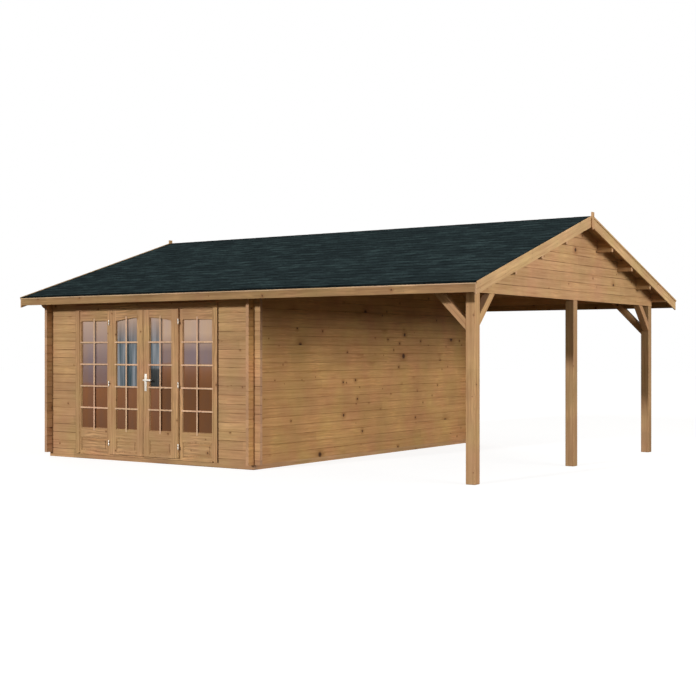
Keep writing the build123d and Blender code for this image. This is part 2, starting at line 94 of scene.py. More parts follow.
class Side(Enum):
    """Sides of the ridge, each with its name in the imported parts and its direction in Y."""

    FRONT = ("front", -1)
    BACK = ("back", 1)


def roof_slope() -> float:
    """Measure how steep the roof is, on the front shingle sheet.

    Returns:
        Angle to the level in radians.
    """
    low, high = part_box("shingles_front")
    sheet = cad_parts["shingles_front"].data.vertices
    eave = max(v.co.z for v in sheet if v.co.y < low[1] + MM)
    return math.atan2(high[2] - eave, high[1] - low[1])


SLOPE = roof_slope()
DIAGONAL = math.sqrt(0.5)


class Grain(Enum):
    """Directions along and across the wood grain, and whether both sides of the ridge mirror."""

    ALONG_RIDGE = ((1.0, 0.0, 0.0), (0.0, 1.0, 1.0), False)
    ACROSS_HOUSE = ((0.0, 1.0, 0.0), (1.0, 0.0, 1.0), False)
    UPRIGHT = ((0.0, 0.0, 1.0), (1.0, 1.0, 0.0), False)
    EAVE_BRACE = ((-DIAGONAL, 0.0, DIAGONAL), (DIAGONAL, 1.0, DIAGONAL), False)
    GABLE_BRACE = ((0.0, -DIAGONAL, DIAGONAL), (1.0, DIAGONAL, DIAGONAL), True)
    DOWN_SLOPE = (
        (0.0, math.cos(SLOPE), -math.sin(SLOPE)),
        (1.0, math.sin(SLOPE), math.cos(SLOPE)),
        True,
    )


def linear(hex_colour: str) -> tuple[float, float, float, float]:
    """Turn an sRGB hex colour into linear RGBA.

    Args:
        hex_colour: Colour such as "#b28b63".

    Returns:
        Linear red, green, blue and an alpha of one.
    """
    values = [int(hex_colour[i:i + 2], 16) / 255 for i in (1, 3, 5)]
    return (*[v / 12.92 if v <= 0.04045 else ((v + 0.055) / 1.055) ** 2.4 for v in values], 1.0)


def per_metre(*sizes_mm: float) -> Any:
    """Turn a pattern's real size into its scale.

    Args:
        sizes_mm: Size of one cell of the pattern, the same for all axes or one for each.

    Returns:
        Cells in a metre: one number for one size, otherwise one number for each axis.
    """
    cells = tuple(1.0 / (size * MM) for size in sizes_mm)
    return cells if len(cells) > 1 else cells[0]


def add_node(
    tree: Tree, kind: str, inputs: dict[Any, Any] | None = None, out: Any = 0, **settings: Any
) -> Any:
    """Add one shader node with its settings, values and links.

    Args:
        tree: Node tree that gets the node.
        kind: Node type without its "ShaderNode" start, such as "Math".
        inputs: Socket name or number to a value, or to the socket that feeds it.
        out: Name or number of the output to hand back, or None for the node itself.
        settings: Properties set on the node itself.

    Returns:
        The chosen output socket, or the new node.
    """
    node = tree.nodes.new(f"ShaderNode{kind}")
    for name, value in settings.items():
        setattr(node, name, value)
    for key, value in (inputs or {}).items():
        if isinstance(value, bpy.types.NodeSocket):
            tree.links.new(value, node.inputs[key])
        else:
            node.inputs[key].default_value = value
    return node if out is None else node.outputs[out]


def set_ramp(ramp: Any, stops: Sequence[tuple[float, str]]) -> Any:
    """Put colours on a colour ramp.

    Args:
        ramp: Colour ramp node.
        stops: Places from 0 to 1 with their hex colours, at least two.

    Returns:
        The ramp's colour socket.
    """
    elements = ramp.color_ramp.elements
    while len(elements) < len(stops):
        elements.new(0.5)
    for element, (place, colour) in zip(elements, stops):
        element.position = place
        element.color = linear(colour)
    return ramp.outputs[0]


def new_material(name: str) -> tuple[Material, Tree]:
    """Make an empty node material.

    Args:
        name: Name of the material.

    Returns:
        The material and its node tree.
    """
    material = bpy.data.materials.new(name)
    material.use_nodes = True
    material.node_tree.nodes.clear()
    return material, material.node_tree


@dataclass(frozen=True)
class TimberFinish:
    """Spruce, planed and dipped brown, which leaves it matt.

    It gives the eye tones that change from board to board, long streaks, a flame figure in
    patches, dark knots in warm rings, dull sawn ends and dark joints between logs.
    """

    name: str
    grain: Grain
    seed: float
    # Dark, middle and pale wood.
    tones: tuple[str, str, str] = ("#987048", "#ae885e", "#bc966c")
    halo: str = "#80502a"
    halo_share: float = 0.45
    knot: str = "#2c1106"
    knot_share: float = 0.9
    joint: str = "#3a1d0a"
    joint_share: float = 0.5
    end: str = "#b38c70"
    # How far boards, soft patches and the flame figure lighten or darken the wood.
    tone: float = 0.06
    cloud: float = 0.1
    figure: float = 0.1
    board_mm: float = 0.0
    first_joint_mm: float = 0.0
    length_mm: float = 1900.0
    joint_mm: float = 7.0
    # Cell and radius of each kind of knot, and the share of cells that have none.
    knots_mm: tuple[tuple[float, float, float], ...] = ((560.0, 46.0, 0.5), (300.0, 19.0, 0.55))
    # Size and depth of the bumps in a knot's outline.
    outline_mm: tuple[float, float] = (22.222, 22.0)
    bend_mm: float = 20.0
    stretch_mm: float = 588.24
    patch_mm: float = 416.67
    # Length along the grain and width across it. Fine grain is 2 mm wide and drawn 6 mm so that it shows.
    streak_mm: tuple[float, float] = (800.0, 30.3)
    fine_mm: tuple[float, float] = (153.85, 6.06)
    flame_mm: tuple[float, float] = (280.5, 44.88)
    # Metres by which the grain of one board may be slid against the next.
    slide: float = 41.0

    def material(self) -> Material:
        """Build the finish as a node material.

        Returns:
            The material.
        """
        material, tree = new_material(self.name)
        surface = add_node(tree, "TexCoord", out=None).outputs
        along, across, height = self._lay(tree, surface["Object"])
        board, joint = self._boards(tree, height, along)
        lot = add_node(tree, "Attribute", out="Fac", attribute_name=LOT)
        number = add_node(tree, "CombineXYZ", {0: board, 1: lot, 2: self.seed})
        row = add_node(tree, "TexWhiteNoise", {"Vector": number}, noise_dimensions="3D")
        slid = add_node(tree, "Math", {0: row, 1: self.slide, 2: along}, operation="MULTIPLY_ADD")
        piece = add_node(tree, "Math", {0: slid, 1: self.length_mm * MM}, operation="DIVIDE")
        piece = add_node(tree, "Math", {0: piece}, operation="FLOOR")
        piece = add_node(tree, "CombineXYZ", {0: piece, 1: row, 2: self.seed})
        tone = add_node(tree, "TexWhiteNoise", {"Vector": piece}, noise_dimensions="3D")
        laid = add_node(tree, "CombineXYZ", {0: slid, 1: across, 2: row})
        near_knot, knot = self._knots(tree, laid)
        streak, fine = self._streaks(tree, laid, near_knot)
        soft = {"Vector": surface["Object"], "Scale": per_metre(self.patch_mm), "Detail": 3.0}
        patches = add_node(tree, "TexNoise", soft, out=None).outputs
        colour = self._colour(tree, tone, streak, fine, patches)
        colour = self._figure(tree, laid, patches[0], colour)
        colour = self._ends(tree, surface["Normal"], tone, colour)
        for mask, share, tint in (
            (near_knot, self.halo_share, self.halo),
            (knot, self.knot_share, self.knot),
            (joint, self.joint_share, self.joint),
        ):
            shade = add_node(tree, "Math", {0: mask, 1: share}, operation="MULTIPLY")
            colour = add_node(tree, "Mix", {0: shade, 6: colour, 7: linear(tint)}, 2, data_type="RGBA")
        relief = add_node(tree, "Math", {0: fine, 1: 0.5, 2: streak}, operation="MULTIPLY_ADD")
        bump = add_node(tree, "Bump", {"Strength": 0.2, "Distance": MM, "Height": relief})
        rough = add_node(tree, "MapRange", {"Value": streak, "To Min": 0.55, "To Max": 0.72})
        shader = {"Base Color": colour, "Roughness": rough, "Normal": bump, "Specular IOR Level": 0.2}
        shader = add_node(tree, "BsdfPrincipled", shader)
        add_node(tree, "OutputMaterial", {0: shader}, out=None)
        return material

    def _lay(self, tree: Tree, place: Any) -> tuple[Any, Any, Any]:
        """Measure a surface along and across its grain.

        Args:
            tree: Node tree of the finish.
            place: Socket of the surface's place.

        Returns:
            Sockets of the length along the grain, the way across it and the height.
        """
        height = add_node(tree, "SeparateXYZ", {0: place}, 2)
        along, across, mirrored = self.grain.value
        if mirrored:
            place = add_node(tree, "VectorMath", {0: place}, operation="ABSOLUTE")
        run = add_node(tree, "VectorMath", {0: place, 1: along}, "Value", operation="DOT_PRODUCT")
        cross = add_node(tree, "VectorMath", {0: place, 1: across}, "Value", operation="DOT_PRODUCT")
        return run, cross, height

    def _boards(self, tree: Tree, height: Any, along: Any) -> tuple[Any, Any]:
        """Number the logs up a wall and mark the joints between them, darker in some stretches.

        Args:
            tree: Node tree of the finish.
            height: Socket of the height.
            along: Socket of the length along the grain.

        Returns:
            The log's number and the darkness of the joint, both plain numbers where there are no logs.
        """
        if not self.board_mm:
            return 0.0, 0.0
        level = add_node(tree, "Math", {0: height, 1: self.first_joint_mm * MM}, operation="SUBTRACT")
        level = add_node(tree, "Math", {0: level, 1: self.board_mm * MM}, operation="DIVIDE")
        number = add_node(tree, "Math", {0: level}, operation="FLOOR")
        middle = add_node(tree, "Math", {0: level}, operation="FRACT")
        middle = add_node(tree, "Math", {0: middle, 1: 0.5}, operation="SUBTRACT")
        middle = add_node(tree, "Math", {0: middle}, operation="ABSOLUTE")
        half = self.joint_mm / self.board_mm / 2
        line = {"Value": middle, "From Min": 0.5 - half * 1.5, "From Max": 0.5 - half * 0.5}
        line = add_node(tree, "MapRange", line, interpolation_type="SMOOTHSTEP")
        edge = add_node(tree, "Math", {0: level}, operation="ROUND")
        stretch = add_node(tree, "CombineXYZ", {0: along, 1: edge, 2: self.seed})
        stretch = {"Vector": stretch, "Scale": per_metre(self.stretch_mm), "Detail": 3.0}
        stretch = add_node(tree, "TexNoise", stretch)
        dark = {"Value": stretch, "From Min": 0.42, "From Max": 0.6, "To Min": 0.1}
        dark = add_node(tree, "MapRange", dark)
        return number, add_node(tree, "Math", {0: line, 1: dark}, operation="MULTIPLY")

    def _knots(self, tree: Tree, laid: Any) -> tuple[Any, Any]:
        """Scatter large and small knots with uneven outlines, some cells having none.

        Args:
            tree: Node tree of the finish.
            laid: Place socket with the grain along its first axis.

        Returns:
            Sockets that rise near a knot and that are one inside it.
        """
        size_mm, depth_mm = self.outline_mm
        shake = {"Vector": laid, "Scale": per_metre(size_mm), "Detail": 2.0}
        shake = add_node(tree, "TexNoise", shake, "Color")
        shake = add_node(tree, "VectorMath", {0: shake, 1: (0.5, 0.5, 0.5)}, operation="SUBTRACT")
        shake = add_node(tree, "VectorMath", {0: shake, "Scale": depth_mm * MM}, operation="SCALE")
        uneven = add_node(tree, "VectorMath", {0: laid, 1: shake}, operation="ADD")
        near, knot = 0.0, 0.0
        for cell_mm, radius_mm, spared in self.knots_mm:
            cells = {"Vector": uneven, "Scale": per_metre(cell_mm)}
            cells = add_node(tree, "TexVoronoi", cells, None, voronoi_dimensions="2D").outputs
            chance = add_node(tree, "SeparateColor", {0: cells["Color"]})
            size = {"Value": chance, "From Min": spared, "To Min": 0.001, "To Max": radius_mm / cell_mm}
            size = add_node(tree, "MapRange", size)
            inside = add_node(tree, "Math", {0: cells["Distance"], 1: size}, operation="DIVIDE")
            core = {"Value": inside, "From Min": 1.1, "From Max": 0.35}
            core = add_node(tree, "MapRange", core, interpolation_type="SMOOTHSTEP")
            halo = {"Value": inside, "From Min": 3.4, "From Max": 0.6}
            halo = add_node(tree, "MapRange", halo, interpolation_type="SMOOTHSTEP")
            knot = add_node(tree, "Math", {0: core, 1: knot}, operation="MAXIMUM")
            near = add_node(tree, "Math", {0: halo, 1: near}, operation="MAXIMUM")
        return near, knot

    def _streaks(self, tree: Tree, laid: Any, near_knot: Any) -> tuple[Any, Any]:
        """Draw broad summerwood streaks and fine grain, bent round the knots.

        Args:
            tree: Node tree of the finish.
            laid: Place socket with the grain along its first axis.
            near_knot: Socket that rises near a knot.

        Returns:
            Sockets with the broad streak and the fine grain, both about 0 to 1.
        """
        bend = add_node(tree, "Math", {0: near_knot, 1: self.bend_mm * MM}, operation="MULTIPLY")
        bend = add_node(tree, "CombineXYZ", {1: bend})
        bent = add_node(tree, "VectorMath", {0: laid, 1: bend}, operation="ADD")
        grains = []
        for (long, wide), rest in (
            (self.streak_mm, {"Detail": 4.0, "Roughness": 0.55, "Distortion": 0.4}),
            (self.fine_mm, {"Detail": 3.0, "Roughness": 0.6}),
        ):
            drawn = add_node(tree, "Mapping", {"Vector": bent, "Scale": per_metre(long, wide, wide)})
            grains.append(add_node(tree, "TexNoise", {"Vector": drawn, "Scale": 1.0, **rest}))
        return grains[0], grains[1]

    def _colour(self, tree: Tree, tone: Any, streak: Any, fine: Any, patches: Any) -> Any:
        """Mix the wood's colours by streak, by the board's tone and by broad soft patches.

        Args:
            tree: Node tree of the finish.
            tone: Socket of the board's random tone.
            streak: Socket of the broad streaks.
            fine: Socket of the fine grain.
            patches: Outputs of the noise of broad patches.

        Returns:
            Colour socket.
        """
        grain = add_node(tree, "Math", {0: fine, 1: 0.45, 2: streak}, operation="MULTIPLY_ADD")
        ramp = add_node(tree, "ValToRGB", {0: grain}, out=None)
        colour = set_ramp(ramp, tuple(zip((0.45, 0.7, 1.0), self.tones)))
        value = {"Value": tone, "To Min": 1.0 - self.tone, "To Max": 1.0 + self.tone}
        value = add_node(tree, "MapRange", value)
        spread = {"From Min": 0.3, "From Max": 0.7}
        light = {"Value": patches[0], **spread, "To Min": 1.0 - self.cloud, "To Max": 1.0 + self.cloud}
        light = add_node(tree, "MapRange", light)
        value = add_node(tree, "Math", {0: value, 1: light}, operation="MULTIPLY")
        warm = add_node(tree, "SeparateColor", {0: patches[1]}, 1)
        hue = add_node(tree, "MapRange", {"Value": warm, **spread, "To Min": 0.489, "To Max": 0.508})
        return add_node(tree, "HueSaturation", {"Hue": hue, "Value": value, "Color": colour})

    def _figure(self, tree: Tree, laid: Any, patch: Any, colour: Any) -> Any:
        """Draw the flame figure of flat-sawn wood, only in patches.

        Args:
            tree: Node tree of the finish.
            laid: Place socket with the grain along its first axis.
            patch: Socket of the broad noise that says where the figure is strong.
            colour: Socket of the wood's colour.

        Returns:
            Colour socket.
        """
        long, wide = self.flame_mm
        flat = add_node(tree, "Mapping", {"Vector": laid, "Scale": (wide / long, 1.0, 1.0)})
        flame = {"Vector": flat, "Scale": per_metre(wide) / WAVE_BANDS, "Distortion": 7.0}
        flame = {**flame, "Detail": 2.0, "Detail Scale": 3.0}
        flame = add_node(tree, "TexWave", flame, 1, bands_direction="Y")
        strength = {"Value": patch, "From Min": 0.45, "From Max": 0.68, "To Max": self.figure}
        strength = add_node(tree, "MapRange", strength)
        value = add_node(tree, "Math", {0: flame, 1: 0.5}, operation="SUBTRACT")
        value = add_node(tree, "Math", {0: value, 1: strength}, operation="MULTIPLY")
        value = add_node(tree, "Math", {0: value, 1: 2.0, 2: 1.0}, operation="MULTIPLY_ADD")
        return add_node(tree, "HueSaturation", {"Value": value, "Color": colour})

    def _ends(self, tree: Tree, normal: Any, tone: Any, colour: Any) -> Any:
        """Dull the sawn ends, which show no streaks and differ from log to log.

        Args:
            tree: Node tree of the finish.
            normal: Socket of the surface's direction.
            tone: Socket of the board's random tone.
            colour: Socket of the wood's colour.

        Returns:
            Colour socket.
        """
        along = self.grain.value[0]
        facing = add_node(tree, "VectorMath", {0: normal, 1: along}, "Value", operation="DOT_PRODUCT")
        facing = add_node(tree, "Math", {0: facing}, operation="ABSOLUTE")
        ends = {"Value": facing, "From Min": 0.8, "From Max": 0.95, "To Max": 0.6}
        ends = add_node(tree, "MapRange", ends)
        value = add_node(tree, "MapRange", {"Value": tone, "To Min": 0.82, "To Max": 1.14})
        end = add_node(tree, "HueSaturation", {"Value": value, "Color": linear(self.end)})
        return add_node(tree, "Mix", {0: ends, 6: colour, 7: end}, 2, data_type="RGBA")


@dataclass(frozen=True)
class ShingleFinish:
    """Bitumen felt pressed with slate granules: dark blue-grey, faintly streaked, darker at the verges,
    with painted shade under each row's butt, at the eaves and along the ridge.
    """

    name: str
    row: float
    # Dark, middle and pale granules.
    tones: tuple[str, str, str] = ("#232c2f", "#2c373a", "#415355")
    # Colour of the darkened edges, mostly painted shade.
    edge: str = "#07090a"
    streak_mm: tuple[float, float, float] = (222.22, 71.43, 25.0)
    # Granules are about 1.5 mm and drawn 20 mm so that they show.
    grit_mm: float = 20.0
    grit_share: float = 0.46
    streak_share: float = 0.9
    lot_share: float = 0.12
    verge_mm: float = 26.0
    eave_mm: float = 75.0
    ridge_mm: float = 70.0
    fade_mm: float = 20.0
    # Shares of a row where the painted shade under its butt starts and where it is darkest.
    butt: tuple[float, float] = (0.86, 0.94)
    # How dark the verges are, and how dark the painted shade at the eaves, the ridge and the butts is.
    edge_darkness: tuple[float, float, float, float] = (0.7, 0.75, 0.8, 0.5)

    def material(self) -> Material:
        """Build the finish as a node material.

        Returns:
            The material.
        """
        material, tree = new_material(self.name)
        place = add_node(tree, "TexCoord", out="Object")
        lot = add_node(tree, "Attribute", out="Fac", attribute_name=LOT)
        long = add_node(tree, "Mapping", {"Vector": place, "Scale": per_metre(*self.streak_mm)})
        cloud = add_node(tree, "TexNoise", {"Vector": long, "Scale": 1.0, "Detail": 5.0, "Roughness": 0.65})
        grit = {"Vector": place, "Scale": per_metre(self.grit_mm), "Detail": 3.0}
        grit = add_node(tree, "TexNoise", grit)
        mixed = add_node(tree, "MapRange", {"Value": cloud, "To Max": self.streak_share})
        for part, share in ((lot, self.lot_share), (grit, self.grit_share)):
            mixed = add_node(tree, "Math", {0: part, 1: share, 2: mixed}, operation="MULTIPLY_ADD")
        ramp = add_node(tree, "ValToRGB", {0: mixed}, out=None)
        colour = set_ramp(ramp, tuple(zip((0.52, 0.74, 0.96), self.tones)))
        # Painted shade under the row butts, along the eaves and the ridge, and darker verges.
        edge = self._edges(tree, place)
        colour = add_node(tree, "Mix", {0: edge, 6: colour, 7: linear(self.edge)}, 2, data_type="RGBA")
        bump = add_node(tree, "Bump", {"Strength": 0.4, "Distance": 2 * MM, "Height": grit})
        shader = {"Base Color": colour, "Roughness": 0.9, "Normal": bump, "Specular IOR Level": 0.0}
        shader = add_node(tree, "BsdfPrincipled", shader)
        add_node(tree, "OutputMaterial", {0: shader}, out=None)
        return material

    def _edges(self, tree: Tree, place: Any) -> Any:
        """Darken the verges, and paint shade under the butt of each row, along the eaves and along the
        ridge.

        Args:
            tree: Node tree of the finish.
            place: Socket of the surface's place.

        Returns:
            Socket that is high along the edges.
        """
        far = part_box("shingles_back")[1]
        out = add_node(tree, "VectorMath", {0: place}, operation="ABSOLUTE")
        axes = add_node(tree, "SeparateXYZ", {0: out}, out=None).outputs
        verge = far[0] - self.verge_mm * MM
        eave = far[1] - self.eave_mm * MM
        ridge, fade = self.ridge_mm * MM, self.fade_mm * MM
        butt = add_node(tree, "Math", {0: axes[1], 1: self.row * math.cos(SLOPE)}, operation="DIVIDE")
        butt = add_node(tree, "Math", {0: butt}, operation="FRACT")
        bands = (
            (axes[0], verge - fade / 2, verge),
            (axes[1], eave - fade, eave),
            (axes[1], ridge, ridge - fade),
            (butt, *self.butt),
        )
        mark = 0.0
        for (value, start, full), share in zip(bands, self.edge_darkness):
            band = {"Value": value, "From Min": start, "From Max": full, "To Max": share}
            band = add_node(tree, "MapRange", band)
            mark = add_node(tree, "Math", {0: band, 1: mark}, operation="MAXIMUM")
        return mark


@dataclass(frozen=True)
class GlassFinish:
    """Float glass with a painted reflection of soft surroundings: pale sky, violet haze, brown ground, a
    grey curtain.
    """

    name: str
    sky: str = "#ccb096"
    haze: str = "#8a7672"
    far: str = "#936849"
    ground: str = "#785539"
    violet: str = "#b4aec6"
    rosy: str = "#cdb6a8"
    veil_share: float = 0.55
    curtain_dark: str = "#43565f"
    curtain_pale: str = "#a3a8b0"
    curtain_deep: str = "#1f211c"
    deep_share: float = 0.85
    # Heights left of the curtain's right edge, and right of it.
    horizon_mm: tuple[float, float] = (1015.0, 1330.0)
    sky_mm: tuple[float, float] = (2000.0, 1760.0)
    # Left, right, lower and upper edge of the curtain, each with how far it fades inwards.
    left_mm: tuple[float, float] = (-530.0, 60.0)
    right_mm: tuple[float, float] = (310.0, 20.0)
    foot_mm: tuple[float, float] = (970.0, 30.0)
    top_mm: tuple[float, float] = (1930.0, 400.0)
    # Height under which the curtain's right half lies deep in shade, and how far that fades.
    shade_mm: tuple[float, float] = (1270.0, 50.0)
    deep_mm: float = 100.0
    cloud_mm: float = 333.33
    cloud_rise_mm: float = 100.0
    veil_mm: tuple[float, float, float] = (142.86, 1000.0, 625.0)
    fold_mm: tuple[float, float, float] = (76.923, 1000.0, 2000.0)

    def material(self) -> Material:
        """Build the finish as a node material.

        Returns:
            The material.
        """
        material, tree = new_material(self.name)
        place = add_node(tree, "TexCoord", out="Object")
        middle = (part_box("side_glass")[0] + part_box("side_glass")[1]) / 2
        place = add_node(tree, "VectorMath", {0: place, 1: (middle.x, 0.0, 0.0)}, operation="SUBTRACT")
        axes = add_node(tree, "SeparateXYZ", {0: place}, out=None).outputs
        soft = {"Vector": place, "Scale": per_metre(self.cloud_mm), "Detail": 3.0}
        soft = add_node(tree, "TexNoise", soft)
        edge, fade = (size * MM for size in self.right_mm)
        step = {"Value": axes[0], "From Min": edge - fade, "From Max": edge}
        horizon, top = (
            add_node(tree, "MapRange", {**step, "To Min": left * MM, "To Max": right * MM})
            for left, right in (self.horizon_mm, self.sky_mm)
        )
        rise = add_node(tree, "Math", {0: axes[2], 1: horizon}, operation="SUBTRACT")
        rise = {0: soft, 1: self.cloud_rise_mm * MM, 2: rise}
        rise = add_node(tree, "Math", rise, operation="MULTIPLY_ADD")
        span = add_node(tree, "Math", {0: top, 1: horizon}, operation="SUBTRACT")
        level = add_node(tree, "Math", {0: rise, 1: span}, operation="DIVIDE")
        level = add_node(tree, "MapRange", {"Value": level, "From Min": -1.0, "From Max": 1.0})
        ramp = add_node(tree, "ValToRGB", {0: level}, out=None)
        # Painted reflection: ground, far land, haze and sky by height.
        colours = (self.ground, self.far, self.haze, self.haze, self.sky)
        colour = set_ramp(ramp, tuple(zip((0.1, 0.5, 0.54, 0.7, 0.98), colours)))
        veil = add_node(tree, "Mapping", {"Vector": place, "Scale": per_metre(*self.veil_mm)})
        veil = add_node(tree, "TexNoise", {"Vector": veil, "Scale": 1.0, "Detail": 3.0})
        veil = add_node(tree, "MapRange", {"Value": veil, "From Min": 0.35, "From Max": 0.65})
        tint = {0: veil, 6: linear(self.violet), 7: linear(self.rosy)}
        tint = add_node(tree, "Mix", tint, 2, data_type="RGBA")
        colour = {0: self.veil_share, 6: colour, 7: tint}
        colour = add_node(tree, "Mix", colour, 2, data_type="RGBA", blend_type="SOFT_LIGHT")
        colour = self._curtain(tree, axes, place, colour)
        shader = {"Base Color": colour, "Roughness": 0.06, "IOR": 1.5, "Transmission Weight": 0.2}
        shader = add_node(tree, "BsdfPrincipled", shader)
        add_node(tree, "OutputMaterial", {0: shader}, out=None)
        return material

    def _curtain(self, tree: Tree, axes: Any, place: Any, colour: Any) -> Any:
        """Paint the reflection of a curtain, upright folds in the middle of the door set.

        Args:
            tree: Node tree of the finish.
            axes: Separate X, Y and Z sockets, X from the middle of the doors.
            place: Socket of the same place.
            colour: Colour of the rest of the painted reflection.

        Returns:
            Colour socket.
        """
        folds = add_node(tree, "Mapping", {"Vector": place, "Scale": per_metre(*self.fold_mm)})
        folds = add_node(tree, "TexNoise", {"Vector": folds, "Scale": 1.0, "Detail": 3.0, "Roughness": 0.6})
        ramp = add_node(tree, "ValToRGB", {0: folds}, out=None)
        cloth = set_ramp(ramp, ((0.4, self.curtain_dark), (0.64, self.curtain_pale)))
        deep = {"Value": axes[0], "From Max": self.deep_mm * MM, "To Max": self.deep_share}
        deep = add_node(tree, "MapRange", deep)
        masks = []
        for axis, (edge_mm, fade_mm), inwards in (
            (axes[2], self.shade_mm, -1),
            (axes[0], self.left_mm, 1),
            (axes[0], self.right_mm, -1),
            (axes[2], self.top_mm, -1),
            (axes[2], self.foot_mm, 1),
        ):
            edge = edge_mm * MM
            mask = {"Value": axis, "From Min": edge, "From Max": edge + inwards * fade_mm * MM}
            masks.append(add_node(tree, "MapRange", mask))
        deep = add_node(tree, "Math", {0: deep, 1: masks[0]}, operation="MULTIPLY")
        cloth = {0: deep, 6: cloth, 7: linear(self.curtain_deep)}
        cloth = add_node(tree, "Mix", cloth, 2, data_type="RGBA")
        inside = masks[1]
        for mask in masks[2:]:
            inside = add_node(tree, "Math", {0: inside, 1: mask}, operation="MULTIPLY")
        return add_node(tree, "Mix", {0: inside, 6: colour, 7: cloth}, 2, data_type="RGBA")


@dataclass(frozen=True)
class MetalFinish:
    """Brushed metal, pale anodised aluminium or bronzed steel: a soft sheen with faint upright lines."""

    name: str
    colour: str = "#efeae0"
    metallic: float = 0.35
    roughness: tuple[float, float] = (0.32, 0.5)
    # Brushing is about 0.2 mm wide and drawn 1 mm wide so that it shows.
    brush_mm: tuple[float, float, float] = (1.1111, 1.1111, 16.667)

    def material(self) -> Material:
        """Build the finish as a node material.

        Returns:
            The material.
        """
        material, tree = new_material(self.name)
        place = add_node(tree, "TexCoord", out="Object")
        brushed = add_node(tree, "Mapping", {"Vector": place, "Scale": per_metre(*self.brush_mm)})
        lines = add_node(tree, "TexNoise", {"Vector": brushed, "Scale": 1.0, "Detail": 2.0})
        smooth, rough = self.roughness
        rough = add_node(tree, "MapRange", {"Value": lines, "To Min": smooth, "To Max": rough})
        shader = {"Base Color": linear(self.colour), "Metallic": self.metallic, "Roughness": rough}
        shader = add_node(tree, "BsdfPrincipled", shader)
        add_node(tree, "OutputMaterial", {0: shader}, out=None)
        return material


def timber(name: str, grain: Grain, seed: float, **changes: Any) -> Material:
    """Make one timber finish.

    Args:
        name: Name of the material.
        grain: Way that its grain runs.
        seed: Number that keeps its pattern apart from the others'.
        changes: Fields of the finish that differ from the usual ones.

    Returns:
        The material.
    """
    return TimberFinish(name, grain, seed, **changes).material()


class Palette:
    """All finishes of the house, made once."""

    def __init__(self) -> None:
        """Make the materials."""
        log, base = Walls().log_mm, Walls().base_mm()
        small = ((560.0, 24.0, 0.5), (300.0, 13.0, 0.55))
        large = ((560.0, 54.0, 0.5), (300.0, 22.0, 0.5))
        few = ((420.0, 17.0, 0.6),)
        several = ((420.0, 20.0, 0.55), (230.0, 12.0, 0.5))
        close = ((260.0, 24.0, 0.45),)
        self.eave_logs = timber(
            "dipped_spruce_eave_logs",
            Grain.ALONG_RIDGE,
            1.0,
            board_mm=log,
            first_joint_mm=base + log / 2,
            tones=("#a07a52", "#ae885e", "#ba946a"),
            joint_share=0.6,
            tone=0.12,
            knots_mm=small,
        )
        self.gable_logs = timber(
            "dipped_spruce_gable_logs", Grain.ACROSS_HOUSE, 2.0, board_mm=log, first_joint_mm=base
        )
        self.sheltered_logs = timber(
            "dipped_spruce_sheltered_logs",
            Grain.ACROSS_HOUSE,
            2.5,
            board_mm=log,
            first_joint_mm=base,
            tones=("#a37846", "#b38856", "#bf9561"),
            joint_share=0.3,
            knots_mm=large,
        )
        self.ridge_beams = timber("dipped_spruce_ridge_beams", Grain.ALONG_RIDGE, 3.0)
        self.cross_beams = timber("dipped_spruce_cross_beams", Grain.ACROSS_HOUSE, 4.0)
        self.uprights = timber(
            "planed_spruce_uprights", Grain.UPRIGHT, 5.0, figure=0.22, knots_mm=several
        )
        # The two rear posts get darker tones that stand in for the shade on them: painted shade.
        self.shaded_back_posts = timber(
            "planed_spruce_posts_painted_shade",
            Grain.UPRIGHT,
            5.5,
            tones=("#86633f", "#997853", "#a5845f"),
            figure=0.15,
            knots_mm=few,
        )
        self.rails = timber(
            "planed_spruce_rails", Grain.ALONG_RIDGE, 6.0, figure=0.34, knots_mm=several
        )
        # The glazing bars' paler tones stand in for the light that they catch: painted highlight.
        self.bars = timber(
            "planed_spruce_glazing_bars",
            Grain.UPRIGHT,
            7.0,
            tones=("#bf9876", "#d0ab89", "#dcb999"),
            knots_mm=(),
        )
        self.slopes = timber("planed_spruce_slope_boards", Grain.DOWN_SLOPE, 8.0)
        self.edges = timber(
            "planed_spruce_edge_boards",
            Grain.DOWN_SLOPE,
            12.0,
            tones=("#a17d53", "#b79569", "#c5a377"),
            knots_mm=few,
        )
        self.fascias = timber(
            "planed_spruce_fascia_boards",
            Grain.ALONG_RIDGE,
            13.0,
            tones=("#7f5e3b", "#95754d", "#a48259"),
            figure=0.2,
            knots_mm=close,
        )
        self.laths = timber(
            "planed_spruce_laths",
            Grain.ALONG_RIDGE,
            14.0,
            tones=("#ab8a64", "#c0a17c", "#cdb08c"),
            knots_mm=(),
        )
        self.eave_braces = timber("planed_spruce_eave_braces", Grain.EAVE_BRACE, 9.0)
        self.gable_braces = timber("planed_spruce_gable_braces", Grain.GABLE_BRACE, 10.0)
        # A dark strip beside each casing that stands in for the shade there: painted shade.
        self.shade_strip = timber(
            "dark_strip_painted_shade", Grain.UPRIGHT, 11.0, tones=("#472d1c", "#573a26", "#664630")
        )
        self.shingle = ShingleFinish("slate_bitumen_shingle", Roof().row()).material()
        self.glass = GlassFinish("float_glass_painted_reflection").material()
        self.metal = MetalFinish("anodised_aluminium").material()
        self.screws = MetalFinish(
            "bronzed_steel_screws", colour="#7d6142", metallic=0.4
        ).material()


def dress(nodes: Iterable[str], material: Material) -> None:
    """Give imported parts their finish.

    Args:
        nodes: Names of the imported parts.
        material: Finish to put on them.
    """
    for name in nodes:
        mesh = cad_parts[name].data
        mesh.materials.clear()
        mesh.materials.append(material)
        LOG.info("dressed %s as %s", name, material.name)


